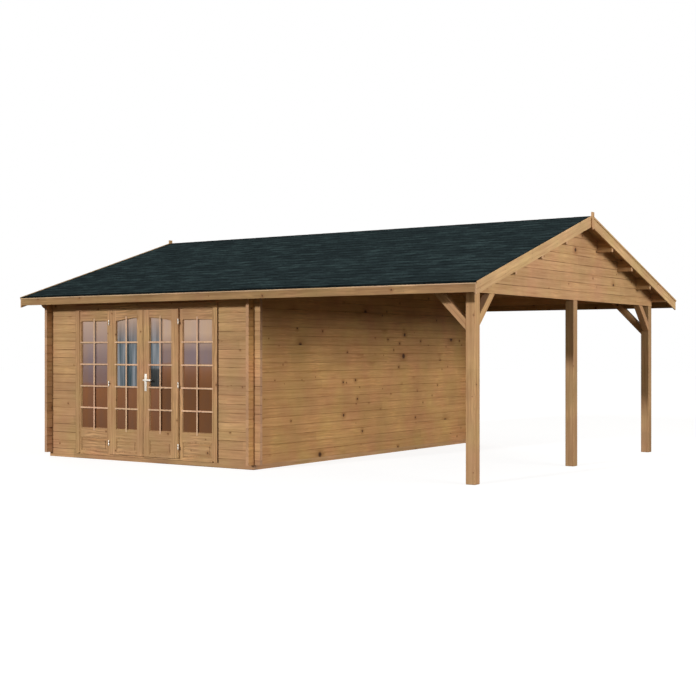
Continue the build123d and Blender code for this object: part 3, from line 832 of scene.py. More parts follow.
def number_lots(bm: Mesh, seed: int) -> None:
    """Give each separate board of a mesh its own random number, which the finishes read as its lot.

    Args:
        bm: Mesh whose boards are separate or differ in material number.
        seed: Start of the random numbers.
    """
    layer = bm.faces.layers.float.new(LOT)
    draw = random.Random(seed)
    waiting = set(bm.faces)
    for start in list(bm.faces):
        if start not in waiting:
            continue
        lot = draw.random()
        stack = [start]
        waiting.discard(start)
        while stack:
            face = stack.pop()
            face[layer] = lot
            for edge in face.edges:
                for other in edge.link_faces:
                    if other in waiting and other.material_index == face.material_index:
                        waiting.discard(other)
                        stack.append(other)


def put_in_scene(name: str, data: Any) -> Any:
    """Make an object at the origin and put it in the scene.

    Args:
        name: Name of the object.
        data: Its mesh, lamp or camera.

    Returns:
        The object.
    """
    thing = bpy.data.objects.new(name, data)
    bpy.context.scene.collection.objects.link(thing)
    return thing


def add_piece(
    name: str, bm: Mesh, body: Body, materials: Sequence[Material], replaced: Sequence[str] = ()
) -> None:
    """Turn a finished bmesh into a piece that rides on a body.

    Args:
        name: Name of the piece.
        bm: Its mesh, which is freed.
        body: Body that carries it.
        materials: Finishes, in the order of the faces' material numbers.
        replaced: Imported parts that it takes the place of, which get its first finish.
    """
    bmesh.ops.recalc_face_normals(bm, faces=bm.faces)
    number_lots(bm, len(name))
    mesh = bpy.data.meshes.new(name)
    bm.to_mesh(mesh)
    bm.free()
    for material in materials:
        mesh.materials.append(material)
    piece = put_in_scene(name, mesh)
    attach(piece, body.value)
    if replaced:
        dress(replaced, materials[0])
        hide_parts(*replaced)
    LOG.info("made %s with %d faces on %s", name, len(mesh.polygons), body.value)


def add_block(bm: Mesh, low: Point, high: Point, turn: Matrix | None = None) -> None:
    """Add one block to a bmesh.

    Args:
        bm: Mesh that gets the block.
        low: Lowest corner.
        high: Highest corner.
        turn: Matrix applied after the block has its size and place.
    """
    size = Vector(high) - Vector(low)
    matrix = Matrix.Translation((Vector(high) + Vector(low)) / 2) @ Matrix.Diagonal((*size, 1.0))
    bmesh.ops.create_cube(bm, size=1.0, matrix=matrix if turn is None else turn @ matrix)


def add_head(bm: Mesh, foot: Point, direction: Point, sizes_mm: tuple[float, float, float]) -> None:
    """Add one round screw head or lock cylinder to a bmesh.

    Args:
        bm: Mesh that gets the head.
        foot: Middle of the face that it stands on.
        direction: Way it points, one long.
        sizes_mm: Radius at its foot, radius at its top, and height.
    """
    foot_radius, top_radius, tall = (size * MM for size in sizes_mm)
    turn = Vector(direction).to_track_quat("Z", "Y").to_matrix().to_4x4()
    middle = Vector(foot) + Vector(direction) * tall / 2
    bmesh.ops.create_cone(
        bm,
        cap_ends=True,
        segments=HEAD_SIDES,
        radius1=foot_radius,
        radius2=top_radius,
        depth=tall,
        matrix=Matrix.Translation(middle) @ turn,
    )


def round_edges(
    bm: Mesh, width_mm: float, segments: int = 1, edges: list[bmesh.types.BMEdge] | None = None
) -> None:
    """Round edges of a mesh.

    Args:
        bm: Mesh to change.
        width_mm: Width of the rounding.
        segments: Faces across it.
        edges: Edges to round, or None for all sharp ones.
    """
    sharp = math.radians(SHARP_DEG)
    if edges is None:
        edges = [e for e in bm.edges if e.is_manifold and e.calc_face_angle(0.0) > sharp]
    bmesh.ops.bevel(
        bm,
        geom=edges,
        offset=width_mm * MM,
        affect="EDGES",
        segments=segments,
        profile=0.5,
        material=-1,
        clamp_overlap=True,
    )


def merged_copy(node: str) -> Mesh:
    """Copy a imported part's mesh with its facets merged to whole faces.

    Args:
        node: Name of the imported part.

    Returns:
        The copy.
    """
    bm = bmesh.new()
    bm.from_mesh(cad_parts[node].data)
    bmesh.ops.remove_doubles(bm, verts=bm.verts, dist=WELD)
    bmesh.ops.dissolve_limit(bm, angle_limit=math.radians(FLAT_DEG), verts=bm.verts, edges=bm.edges)
    for face in bm.faces:
        face.material_index = 0
    return bm


def add_rounded(
    nodes: Iterable[str],
    material: Material,
    slot: Slot,
    width_mm: float,
    body: Body = Body.HOUSE,
    segments: int = 1,
) -> None:
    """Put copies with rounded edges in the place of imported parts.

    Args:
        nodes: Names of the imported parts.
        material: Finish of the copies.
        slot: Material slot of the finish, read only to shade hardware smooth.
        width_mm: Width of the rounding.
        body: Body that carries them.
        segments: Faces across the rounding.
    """
    for node in nodes:
        bm = merged_copy(node)
        round_edges(bm, width_mm, segments)
        for face in bm.faces:
            face.smooth = slot is Slot.HARDWARE
        add_piece(f"{node}_rounded", bm, body, [material], [node])


def on_slope(way: int, height: float, x: float = 0.0) -> Matrix:
    """Matrix that lays level things on one slope, hinged on a line along the ridge."""
    return Matrix.Translation((x, 0.0, height)) @ Matrix.Rotation(way * -SLOPE, 4, "X")


@dataclass
class Walls:
    """Log walls, gables and foundation beams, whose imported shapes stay."""

    log_mm: float = 114.0
    eave_walls: tuple[str, ...] = (
        "front_wall_left",
        "front_wall_right",
        "front_header",
        "front_plate",
        "back_wall",
        "back_plate",
        "foundation_front_back",
    )
    gables: tuple[str, ...] = ("left_gable_wall", "canopy_gable")
    sheltered: tuple[str, ...] = ("cabin_gable_wall",)
    bearers: tuple[str, ...] = ("foundation_sides", "floor_bearers")

    def base_mm(self) -> float:
        """Height at which the lowest logs start."""
        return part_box("front_wall_left")[0][2] / MM

    def build(self, palette: Palette) -> None:
        """Dress the walls.

        Args:
            palette: Finishes of the house.
        """
        dress(self.eave_walls, palette.eave_logs)
        dress(self.gables, palette.gable_logs)
        dress(self.sheltered, palette.sheltered_logs)
        dress(self.bearers, palette.cross_beams)


@dataclass
class Roof:
    """Boards, shingles, ridge tiles, laths, edge boards and their screws."""

    row_mm: float = 143.0
    tab_mm: float = 333.0
    gap_mm: float = 5.0
    tab_thick_mm: float = 3.6
    # Shares of a tab's thickness under and over the line that it is tilted on.
    tab_sink: float = 0.2
    tab_rise: float = 0.3
    board_mm: float = 96.0
    joint_mm: float = 0.6
    joint_edge_mm: float = 2.5
    tile_mm: float = 250.0
    # Shares of the ridge cap's height that a tile is thick, and of a tile's thickness that it is tilted.
    tile_thick: float = 0.7
    tile_tilt: float = 0.4
    edge_mm: float = 2.0
    lath_mm: float = 10.0
    lath_wide_mm: float = 24.0
    lath_rise_mm: float = 11.0
    lath_drop_mm: float = 14.0
    # Radius at the foot, radius at the top, and height of a screw head.
    screw_mm: tuple[float, float, float] = (5.0, 3.0, 1.4)
    # Where pairs of screws sit, as shares of the way from ridge to eave, and how far under the board's top.
    barge_pairs: tuple[float, ...] = (0.12, 0.34, 0.56, 0.78, 0.97)
    barge_drops_mm: tuple[float, float] = (35.0, 85.0)
    # How many pairs a fascia has, and how far under its top they sit.
    fascia_pairs: int = 12
    fascia_drops_mm: tuple[float, float] = (30.0, 75.0)

    def build(self, palette: Palette) -> None:
        """Lay the whole roof.

        Args:
            palette: Finishes of the house.
        """
        for side in Side:
            self._tabs(side, palette.shingle)
            self._boards(side, palette.slopes)
        self._ridge(palette.shingle)
        for side in Side:
            self._sheet(side, palette.shingle)
        self._laths(palette)
        add_rounded(["fascia_front", "fascia_back"], palette.fascias, Slot.TRIM, self.edge_mm)
        add_rounded(["bargeboards_left", "bargeboards_right"], palette.edges, Slot.TRIM, self.edge_mm)
        add_rounded(["finials"], palette.uprights, Slot.TRIM, self.edge_mm)
        self._screws(palette.screws)

    def row(self) -> float:
        """Find the length of a row of tabs down the slope, a whole number of which fill it.

        Returns:
            The length, near the usual one.
        """
        low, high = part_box("shingles_front")
        run = (high[1] - low[1] - self.lath_mm * MM) / math.cos(SLOPE) - self.tab_thick_mm * MM
        return run / round(run / (self.row_mm * MM))

    def _tabs(self, side: Side, finish: Material) -> None:
        """Lay one slope's tabs, each row lapping the row below.

        Args:
            side: Side of the ridge.
            finish: Shingle finish.
        """
        end, way = side.value
        low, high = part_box(f"shingles_{end}")
        thick, row, tab, gap = self.tab_thick_mm * MM, self.row(), self.tab_mm * MM, self.gap_mm * MM
        under, over = -thick * self.tab_sink, thick * self.tab_rise
        rows = round((high[1] - low[1]) / math.cos(SLOPE) / row)
        tilt = Matrix.Rotation(way * math.atan2(thick, row), 4, "X")
        near, far = sorted((0.0, way * row))
        bm = bmesh.new()
        for i in range(rows):
            down = on_slope(way, high[2]) @ Matrix.Translation((0.0, way * i * row, 0.0)) @ tilt
            start = low[0] - (i % 2) * tab / 2
            while start < high[0]:
                left, right = max(start, low[0]), min(start + tab - gap, high[0])
                start += tab
                if right - left > gap:
                    add_block(bm, (left, near, under), (right, far, over), down)
        add_piece(f"shingle_tabs_{end}", bm, Body.HOUSE, [finish])

    def _boards(self, side: Side, finish: Material) -> None:
        """Lay one slope's boards with a V joint between them.

        Args:
            side: Side of the ridge.
            finish: Board finish.
        """
        end, way = side.value
        node = f"roof_boards_{end}"
        low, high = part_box(node)
        run = (high[1] - low[1]) / math.cos(SLOPE)
        thick = (high[2] - low[2]) * math.cos(SLOPE) - (high[1] - low[1]) * math.sin(SLOPE)
        count = round((high[0] - low[0]) / (self.board_mm * MM))
        width = (high[0] - low[0]) / count
        near, far = sorted((way * thick * math.tan(SLOPE), way * run))
        bm = bmesh.new()
        for i in range(count):
            left = low[0] + i * width
            right = left + width - self.joint_mm * MM
            add_block(bm, (left, near, -thick), (right, far, 0.0), on_slope(way, high[2]))
        round_edges(bm, self.joint_edge_mm)
        add_piece(f"roof_planks_{end}", bm, Body.HOUSE, [finish], [node])

    def _ridge(self, finish: Material) -> None:
        """Bend tiles over the ridge, each lapping the next.

        Args:
            finish: Shingle finish.
        """
        low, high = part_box("ridge_cap")
        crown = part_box("shingles_front")[1][2]
        thick = (high[2] - crown) * self.tile_thick
        reach = high[1] / math.cos(SLOPE)
        count = round((high[0] - low[0]) / (self.tile_mm * MM))
        step = (high[0] - low[0]) / count
        tilt = Matrix.Rotation(math.atan2(thick * self.tile_tilt, step), 4, "Y")
        bm = bmesh.new()
        for i in range(count):
            for side in Side:
                way = side.value[1]
                near, far = sorted((0.0, way * reach))
                place = on_slope(way, crown, low[0] + i * step) @ tilt
                add_block(bm, (0.0, near, 0.0), (step, far, thick), place)
        add_piece("ridge_tiles", bm, Body.HOUSE, [finish], ["ridge_cap"])

    def _sheet(self, side: Side, finish: Material) -> None:
        """Copy one slope's shingle sheet, cut back at the eave to make room for the lath.

        Args:
            side: Side of the ridge.
            finish: Shingle finish.
        """
        end, way = side.value
        node, back = f"shingles_{end}", self.lath_mm * MM
        bm = merged_copy(node)
        far = max(abs(v.co.y) for v in bm.verts)
        edge = [v for v in bm.verts if abs(v.co.y) > far - MM]
        bmesh.ops.translate(bm, verts=edge, vec=(0.0, -way * back, back * math.tan(SLOPE)))
        add_piece(f"shingle_sheet_{end}", bm, Body.HOUSE, [finish], [node])

    def _laths(self, palette: Palette) -> None:
        """Cover the shingles' cut edges with laths along the eaves and verges.

        Args:
            palette: Finishes of the house.
        """
        thick, wide, rise = self.lath_mm * MM, self.lath_wide_mm * MM, self.lath_rise_mm * MM
        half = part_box("finials")[1][1]
        eaves, verges = bmesh.new(), bmesh.new()
        for side in Side:
            end, way = side.value
            low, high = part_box(f"shingles_{end}")
            far = max(abs(low[1]), abs(high[1]))
            near, out = sorted((way * (far - thick), way * far))
            top = high[2] - far * math.tan(SLOPE)
            add_block(eaves, (low[0], near, top - self.lath_drop_mm * MM), (high[0], out, top))
            near, out = sorted(way * y / math.cos(SLOPE) for y in (half, far - thick))
            for left in (low[0] - thick, high[0]):
                corners = (left, near, rise - wide), (left + thick, out, rise)
                add_block(verges, *corners, on_slope(way, high[2]))
        for name, bm, finish in (
            ("eave_laths", eaves, palette.laths),
            ("verge_laths", verges, palette.edges),
        ):
            round_edges(bm, self.edge_mm)
            add_piece(name, bm, Body.HOUSE, [finish])

    def _screws(self, finish: Material) -> None:
        """Put screw heads along the edge boards, in pairs.

        Args:
            finish: Metal finish.
        """
        bm = bmesh.new()
        for node, way in (("bargeboards_left", -1), ("bargeboards_right", 1)):
            low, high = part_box(node)
            x = low[0] if way < 0 else high[0]
            for share in self.barge_pairs:
                for slope in (-1, 1):
                    y = slope * high[1] * share
                    for drop in self.barge_drops_mm:
                        z = high[2] - abs(y) * math.tan(SLOPE) - drop * MM
                        add_head(bm, (x, y, z), (way, 0.0, 0.0), self.screw_mm)
        for side in Side:
            end, way = side.value
            low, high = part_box(f"fascia_{end}")
            y = low[1] if way < 0 else high[1]
            for i in range(self.fascia_pairs):
                x = low[0] + (i + 0.5) * (high[0] - low[0]) / self.fascia_pairs
                for drop in self.fascia_drops_mm:
                    add_head(bm, (x, y, high[2] - drop * MM), (0.0, way, 0.0), self.screw_mm)
        add_piece("edge_board_screws", bm, Body.HOUSE, [finish])


@dataclass
class Canopy:
    """Posts, braces and purlins with eased edges, the two rear posts painted darker as a stand-in for the
    shade on them.
    """

    front_post_mm: float = 500.0
    post_edge_mm: float = 5.0
    purlin_edge_mm: float = 3.0

    def build(self, palette: Palette) -> None:
        """Ease the edges of the canopy's timbers.

        Args:
            palette: Finishes of the house.
        """
        bm = merged_copy("posts")
        round_edges(bm, self.post_edge_mm)
        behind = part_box("posts")[0][1] + self.front_post_mm * MM
        # Faces behind the front post take the darker finish: painted shade.
        for face in bm.faces:
            face.material_index = int(face.calc_center_median().y > behind)
        finishes = [palette.uprights, palette.shaded_back_posts]
        add_piece("posts_rounded", bm, Body.HOUSE, finishes, ["posts"])
        add_rounded(["eave_braces"], palette.eave_braces, Slot.TIMBER, self.post_edge_mm)
        add_rounded(["gable_braces"], palette.gable_braces, Slot.TIMBER, self.post_edge_mm)
        purlins = ["ridge_purlin", "front_purlins", "back_purlins"]
        add_rounded(purlins, palette.ridge_beams, Slot.TIMBER, self.purlin_edge_mm)


@dataclass
class Floor:
    """Single boards of the cabin floor."""

    board_mm: float = 96.0
    joint_mm: float = 0.6
    joint_edge_mm: float = 1.5

    def build(self, palette: Palette) -> None:
        """Lay the boards along the ridge's direction.

        Args:
            palette: Finishes of the house.
        """
        low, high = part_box("floor_boards")
        count = round((high[1] - low[1]) / (self.board_mm * MM))
        width = (high[1] - low[1]) / count
        bm = bmesh.new()
        for i in range(count):
            near = low[1] + i * width
            add_block(bm, (low[0], near, low[2]), (high[0], near + width - self.joint_mm * MM, high[2]))
        round_edges(bm, self.joint_edge_mm)
        add_piece("floor_planks", bm, Body.HOUSE, [palette.ridge_beams], ["floor_boards"])


@dataclass(frozen=True)
class Pane:
    """One glazed opening: its corners at the glass, its leaf's front face, and whether it has an arch."""

    low: Vector
    high: Vector
    face: float
    arched: bool


@dataclass
class DoorSet:
    """Doors and side lights of stiles and rails, with bars, beads, mouldings, casings and fittings."""

    rebate_mm: float = 10.0
    edge_mm: float = 2.0
    bar_mm: float = 21.0
    bar_thick_mm: float = 5.0
    bar_steps: int = 2
    # Share of an upright bar's thickness that a level bar has.
    level_thick: float = 0.9
    bar_lap_mm: float = 20.0
    bar_foot_mm: float = 34.0
    levels_mm: tuple[float, ...] = (1580.0, 1283.0, 989.0, 696.0)
    bead_mm: float = 6.0
    arch_radius_mm: float = 2700.0
    arch_steps: int = 10
    panel_low_mm: float = 112.0
    panel_high_mm: float = 300.0
    panel_depth_mm: float = 7.0
    moulding_mm: float = 13.0
    # Share of the panel's depth by which its moulding stays behind the leaf's face.
    moulding_sink: float = 0.3
    # Size of the dark strips beside the casings, which stand in for the shade there.
    shade_strip_mm: float = 4.0
    shade_strip_back_mm: float = 3.0
    shade_strip_edge_mm: float = 1.0
    cove_mm: float = 20.0
    # Share of a cove's depth that is rounded.
    cove_round: float = 0.96
    cove_steps: int = 4
    barrel_mm: float = 7.0
    hinge_edge_mm: float = 1.5
    plate_edge_mm: float = 2.5
    plate_steps: int = 2
    lever_edge_mm: float = 4.0
    lever_steps: int = 3
    # Radius at the foot, radius at the top, and height.
    screw_mm: tuple[float, float, float] = (4.0, 3.0, 1.4)
    screw_inset_mm: float = 14.0
    lock_mm: tuple[float, float, float] = (8.5, 8.0, 3.0)
    lock_rise_mm: float = 52.0

    def build(self, palette: Palette) -> None:
        """Make the whole door set.

        Args:
            palette: Finishes of the house.
        """
        dress(["frame_mullions"], palette.uprights)
        dress(["side_glass", "door_left_glass", "door_right_glass"], palette.glass)
        self._light("side_lights", "side_glass", Body.HOUSE, palette)
        self._light("door_left", "door_left_glass", Body.DOOR_LEFT, palette)
        self._light("door_right", "door_right_glass", Body.DOOR_RIGHT, palette)
        add_rounded(["frame_jambs"], palette.uprights, Slot.TRIM, self.edge_mm)
        add_rounded(["frame_head", "frame_sill"], palette.rails, Slot.TRIM, self.edge_mm)
        self._shade_strips(palette.shade_strip)
        self._coves(palette.uprights)
        self._hinges("hinge_frame_halves", Body.HOUSE, palette)
        self._hinges("hinge_left_halves", Body.DOOR_LEFT, palette)
        self._hinges("hinge_right_halves", Body.DOOR_RIGHT, palette)
        self._handle(palette.metal)

    @cached_property
    def x_middle(self) -> float:
        """Middle of the door set in X."""
        low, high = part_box("side_glass")
        return (low[0] + high[0]) / 2

    @cached_property
    def arch_centre(self) -> float:
        """Find the centre of the arch over both doors.

        Returns:
            Its height.
        """
        pane = self._panes("door_right", "door_right_glass", True)[0]
        reach = pane.low[0] - self.x_middle
        return pane.high[2] - math.sqrt((self.arch_radius_mm * MM) ** 2 - reach**2)

    def _arch(self, x: float) -> float:
        """Height of the arch over the doors at a place in X."""
        return self.arch_centre + math.sqrt((self.arch_radius_mm * MM) ** 2 - (x - self.x_middle) ** 2)

    def _panes(self, node: str, glass: str, arched: bool) -> list[Pane]:
        """Find the openings in front of a leaf's glass, or of both side lights' glass.

        Args:
            node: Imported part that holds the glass.
            glass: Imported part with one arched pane, or with a pane on each side of the doors.
            arched: Whether it is the arched pane of a door.

        Returns:
            The openings, from left to right.
        """
        places = [v.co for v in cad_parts[glass].data.vertices]
        groups = [places]
        if not arched:
            groups = [[p for p in places if (p.x - self.x_middle) * way > 0] for way in (-1, 1)]
        rim = Vector((self.rebate_mm * MM, 0.0, self.rebate_mm * MM))
        panes = []
        for own in groups:
            low = Vector([min(p[i] for p in own) for i in range(3)])
            high = Vector([max(p[i] for p in own) for i in range(3)])
            panes.append(Pane(low + rim, high - rim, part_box(node)[0][1], arched))
        return panes

    def _light(self, node: str, glass: str, body: Body, palette: Palette) -> None:
        """Make one door, or both side lights, with all that belongs to their panes.

        Args:
            node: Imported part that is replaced.
            glass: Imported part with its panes.
            body: Body that carries it.
            palette: Finishes of the house.
        """
        panes = self._panes(node, glass, body is not Body.HOUSE)
        self._joinery(node, body, panes, palette)
        bars, beads = bmesh.new(), bmesh.new()
        bead, rim = self.bead_mm * MM, self.rebate_mm * MM
        for pane in panes:
            self._bars(bars, pane, pane.face, -1, self.bar_lap_mm * MM, self.bar_foot_mm * MM)
            self._bars(bars, pane, pane.high[1], 1)
            self._beads(beads, pane, pane.low[1] - bead, bead)
            self._beads(beads, pane, pane.high[1], rim, rim)
            self._moulding(beads, pane)
        round_edges(bars, self.edge_mm, self.bar_steps)
        round_edges(beads, self.edge_mm)
        add_piece(f"{node}_bars", bars, body, [palette.bars])
        add_piece(f"{node}_beads", beads, body, [palette.uprights])

    def _joinery(self, node: str, body: Body, panes: list[Pane], palette: Palette) -> None:
        """Copy a packed leaf as upright stiles and level rails with rounded edges.

        Args:
            node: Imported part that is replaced.
            body: Body that carries it.
            panes: Its openings.
            palette: Finishes of the house.
        """
        bm = merged_copy(node)
        for pane in panes:
            for x in (pane.low[0], pane.high[0]):
                geom = [*bm.verts, *bm.edges, *bm.faces]
                bmesh.ops.bisect_plane(bm, geom=geom, plane_co=(x, 0.0, 0.0), plane_no=(1.0, 0.0, 0.0))
        round_edges(bm, self.edge_mm)
        for face in bm.faces:
            x = face.calc_center_median().x
            face.material_index = int(any(pane.low[0] < x < pane.high[0] for pane in panes))
        add_piece(f"{node}_joinery", bm, body, [palette.uprights, palette.rails], [node])

    def _bars(
        self, bm: Mesh, pane: Pane, y: float, way: int, lap: float = 0.0, foot: float = 0.0
    ) -> None:
        """Lay one upright bar and the level bars on one face of a pane.

        Args:
            bm: Mesh of the bars.
            pane: Opening that they cross.
            y: Face that they lie on.
            way: Direction in Y in which they stand out.
            lap: How far level bars reach past the opening.
            foot: How far the upright bar reaches past it.
        """
        half, deep = self.bar_mm * MM / 2, self.bar_thick_mm * MM
        low, high = pane.low, pane.high
        middle = (low[0] + high[0]) / 2
        top = self._arch(middle) if pane.arched else high[2]
        near, far = sorted((y, y + way * deep))
        add_block(bm, (middle - half, near, low[2] - foot), (middle + half, far, top + foot))
        near, far = sorted((y, y + way * deep * self.level_thick))
        for level in self.levels_mm:
            z = level * MM
            add_block(bm, (low[0] - lap, near, z - half), (high[0] + lap, far, z + half))

    def _beads(self, bm: Mesh, pane: Pane, near: float, bead: float, grow: float = 0.0) -> None:
        """Lay the glazing bead round a pane, bent under the arch of a door.

        Args:
            bm: Mesh of the beads.
            pane: Opening that it goes round.
            near: Front of the bead in Y.
            bead: Width and depth of the bead.
            grow: How far its outside lies past the opening's edge.
        """
        low = pane.low - Vector((grow, 0.0, grow))
        high = pane.high + Vector((grow, 0.0, grow))
        far = near + bead
        ends = [self._arch(x) + grow if pane.arched else high[2] for x in (low[0], high[0])]
        add_block(bm, (low[0], near, low[2]), (high[0], far, low[2] + bead))
        add_block(bm, (low[0], near, low[2]), (low[0] + bead, far, ends[0]))
        add_block(bm, (high[0] - bead, near, low[2]), (high[0], far, ends[1]))
        if not pane.arched:
            add_block(bm, (low[0], near, high[2] - bead), (high[0], far, high[2]))
            return
        radius = self.arch_radius_mm * MM
        first, last = (math.asin((x - self.x_middle) / radius) for x in (low[0], high[0]))
        centre = Vector((self.x_middle, 0.0, self.arch_centre + grow))
        place = Matrix.Translation(centre) @ Matrix.Rotation(first, 4, "Y")
        place = place @ Matrix.Translation((0.0, (near + far) / 2, radius - bead / 2))
        place = place @ Matrix.Rotation(math.pi / 2, 4, "Y")
        start = bmesh.ops.create_grid(bm, x_segments=1, y_segments=1, size=bead / 2, matrix=place)
        section = list(start["verts"][0].link_faces)
        turn = {"axis": (0.0, 1.0, 0.0), "angle": last - first, "steps": self.arch_steps}
        bmesh.ops.spin(bm, geom=section, cent=centre, **turn)

    def _moulding(self, bm: Mesh, pane: Pane) -> None:
        """Lay a moulding round the sunk panel under a pane.

        Args:
            bm: Mesh of the mouldings.
            pane: Opening over the panel.
        """
        low, high, wide = self.panel_low_mm * MM, self.panel_high_mm * MM, self.moulding_mm * MM
        left, right = pane.low[0], pane.high[0]
        far = pane.face + self.panel_depth_mm * MM
        near = pane.face + self.panel_depth_mm * MM * self.moulding_sink
        for z in (low, high - wide):
            add_block(bm, (left, near, z), (right, far, z + wide))
        for x in (left, right - wide):
            add_block(bm, (x, near, low + wide), (x + wide, far, high - wide))

    def _shade_strips(self, finish: Material) -> None:
        """Put a dark strip between each casing and the logs, shaped as a sealing strip, which stands in for
        the shade beside the casing: painted shade.

        Args:
            finish: Dark strip finish.
        """
        low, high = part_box("frame_jambs")
        near, far = low[1] + self.shade_strip_back_mm * MM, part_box("front_wall_left")[0][1]
        thick = self.shade_strip_mm * MM
        bm = bmesh.new()
        for left in (low[0] - thick, high[0]):
            add_block(bm, (left, near, low[2]), (left + thick, far, high[2]))
        round_edges(bm, self.shade_strip_edge_mm)
        add_piece("casing_seals", bm, Body.HOUSE, [finish])

    def _coves(self, finish: Material) -> None:
        """Fill the step between each casing and its side light with a rounded strip.

        Args:
            finish: Wood finish.
        """
        low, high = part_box("side_lights")
        front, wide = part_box("frame_jambs")[0][1], self.cove_mm * MM
        size_mm = (low[1] - front) * self.cove_round / MM
        bm = bmesh.new()
        for left, inner in ((low[0], low[0] + wide), (high[0] - wide, high[0] - wide)):
            add_block(bm, (left, front, low[2]), (left + wide, low[1], high[2]))
            near = {v for v in bm.verts if abs(v.co.x - inner) + abs(v.co.y - front) < MM}
            corner = [e for e in bm.edges if near.issuperset(e.verts)]
            round_edges(bm, size_mm, self.cove_steps, corner)
        add_piece("casing_coves", bm, Body.HOUSE, [finish])

    def _hinges(self, node: str, body: Body, palette: Palette) -> None:
        """Round one set of hinge halves: pale barrels on bronzed feet.

        Args:
            node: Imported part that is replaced.
            body: Body that carries it.
            palette: Finishes of the house.
        """
        reach = self.barrel_mm * MM
        axes = (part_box("hinge_left_halves")[0][0] + reach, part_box("hinge_right_halves")[1][0] - reach)
        bm = merged_copy(node)
        round_edges(bm, self.hinge_edge_mm)
        for face in bm.faces:
            place = face.calc_center_median()
            face.smooth = True
            face.material_index = int(min(abs(place.x - x) for x in axes) > reach)
        finishes = [palette.metal, palette.screws]
        add_piece(f"{node}_rounded", bm, body, finishes, [node])

    def _handle(self, finish: Material) -> None:
        """Round the plates and the lever, and add the lock cylinder and the screws.

        Args:
            finish: Metal finish.
        """
        for node, edge_mm, body, steps in (
            ("handle_plates", self.plate_edge_mm, Body.DOOR_RIGHT, self.plate_steps),
            ("handle_lever", self.lever_edge_mm, Body.HANDLE, self.lever_steps),
        ):
            add_rounded([node], finish, Slot.HARDWARE, edge_mm, body, steps)
        low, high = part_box("handle_plates")
        x, inset = (low[0] + high[0]) / 2, self.screw_inset_mm * MM
        bm = bmesh.new()
        for y, way in ((low[1], -1.0), (high[1], 1.0)):
            for z, sizes_mm in (
                (low[2] + inset, self.screw_mm),
                (high[2] - inset, self.screw_mm),
                (low[2] + self.lock_rise_mm * MM, self.lock_mm),
            ):
                add_head(bm, (x, y, z), (0.0, way, 0.0), sizes_mm)
        add_piece("handle_screws", bm, Body.DOOR_RIGHT, [finish])


@dataclass(frozen=True)
class Sun:
    """One far lamp: the way from the house to it, its strength, and how wide it looks."""

    name: str
    direction: Point
    strength: float
    angle_deg: float

    def hang(self) -> None:
        """Put the lamp in the scene."""
        data = bpy.data.lights.new(self.name, "SUN")
        data.energy = self.strength
        data.angle = math.radians(self.angle_deg)
        lamp = put_in_scene(self.name, data)
        lamp.rotation_euler = Vector(self.direction).to_track_quat("Z", "Y").to_euler()


@dataclass(frozen=True)
class Panel:
    """One upright soft panel that faces the canopy's gable: its middle, its width and height, its power."""

    name: str
    place: Point
    size: tuple[float, float]
    watts: float

    def stand(self) -> None:
        """Put the panel in the scene."""
        data = bpy.data.lights.new(self.name, "AREA")
        data.shape = "RECTANGLE"
        data.size, data.size_y = self.size
        data.energy = self.watts
        lamp = put_in_scene(self.name, data)
        lamp.location = self.place
        lamp.rotation_euler = (math.radians(90.0), 0.0, math.radians(90.0))
        lamp.visible_camera = False


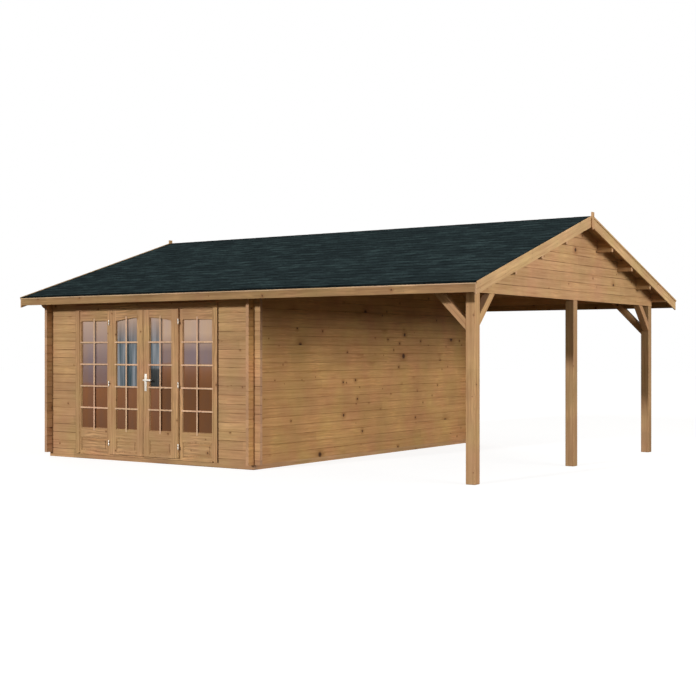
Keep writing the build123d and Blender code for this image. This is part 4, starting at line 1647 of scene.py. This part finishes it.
@dataclass
class Stage:
    """Pale floor, soft light and the camera at the photograph's place."""

    eye: Point = (9.8245, -14.601, 1.4821)
    turn_deg: float = 34.372
    focal_px: float = 1234.83
    horizon_px: float = 349.68
    image_px: float = 696.0
    sensor_mm: float = 36.0
    white: str = "#ffffff"
    haze: float = 0.3
    haze_colour: str = "#fff6e8"
    suns: tuple[Sun, ...] = (
        Sun("front_sun", (-0.18, -1.0, 0.256), 2.38, 4.0),
        Sun("back_fill", (-0.75, 0.6, 0.3), 1.5, 30.0),
    )
    panel: Panel = Panel("right_panel", (24.0, -3.5, 5.96), (14.0, 5.94), 4420.0)
    floor_half: float = 60.0
    floor_glow: float = 0.86
    floor_shade: str = "#898989"
    floor_dim: str = "#766f61"

    def build(self) -> None:
        """Make the camera, the world, the lamps and the floor."""
        self._camera()
        self._world()
        for sun in self.suns:
            sun.hang()
        self.panel.stand()
        self._floor()

    def _camera(self) -> None:
        """Set the camera where the photograph was taken from."""
        data = bpy.data.cameras.new("camera")
        data.sensor_width = self.sensor_mm
        data.lens = self.focal_px / self.image_px * self.sensor_mm
        data.shift_y = (self.horizon_px - self.image_px / 2) / self.image_px
        camera = put_in_scene("camera", data)
        camera.location = self.eye
        camera.rotation_euler = (math.radians(90.0), 0.0, math.radians(self.turn_deg))
        bpy.context.scene.camera = camera

    def _world(self) -> None:
        """White to the camera, in mirrors and through glass, a softer white to light the house."""
        world = bpy.data.worlds.new("studio")
        bpy.context.scene.world = world
        world.use_nodes = True
        tree = world.node_tree
        tree.nodes.clear()
        path = add_node(tree, "LightPath", out=None).outputs
        seen = path["Is Camera Ray"]
        for ray in ("Is Glossy Ray", "Is Transmission Ray"):
            seen = add_node(tree, "Math", {0: seen, 1: path[ray]}, operation="MAXIMUM")
        strength = add_node(tree, "MapRange", {"Value": seen, "To Min": self.haze, "To Max": 1.0})
        colour = {0: seen, 6: linear(self.haze_colour), 7: linear(self.white)}
        colour = add_node(tree, "Mix", colour, 2, data_type="RGBA")
        back = add_node(tree, "Background", {"Color": colour, "Strength": strength})
        add_node(tree, "OutputWorld", {0: back}, out=None)

    def _floor(self) -> None:
        """Lay a pale floor that stays white to the camera and keeps a faint shadow."""
        material, tree = new_material("pale_floor")
        seen = add_node(tree, "LightPath", out="Is Camera Ray")
        glow = add_node(tree, "Emission", {"Color": linear(self.white), "Strength": self.floor_glow})
        shade = add_node(tree, "BsdfDiffuse", {"Color": linear(self.floor_shade)})
        white = add_node(tree, "AddShader", {0: glow, 1: shade})
        dim = add_node(tree, "BsdfDiffuse", {"Color": linear(self.floor_dim)})
        both = add_node(tree, "MixShader", {0: seen, 1: dim, 2: white})
        add_node(tree, "OutputMaterial", {0: both}, out=None)
        bm = bmesh.new()
        bmesh.ops.create_grid(bm, x_segments=1, y_segments=1, size=self.floor_half)
        mesh = bpy.data.meshes.new("floor")
        bm.to_mesh(mesh)
        bm.free()
        mesh.materials.append(material)
        floor = put_in_scene("floor", mesh)


def main() -> None:
    """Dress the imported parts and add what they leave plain."""
    logging.basicConfig(level=logging.INFO, format="%(message)s")
    bpy.context.scene.view_settings.view_transform = "Standard"
    palette = Palette()
    for part in (Walls(), Roof(), Canopy(), Floor(), DoorSet()):
        part.build(palette)
    Stage().build()


if __name__ == "__main__":
    main()
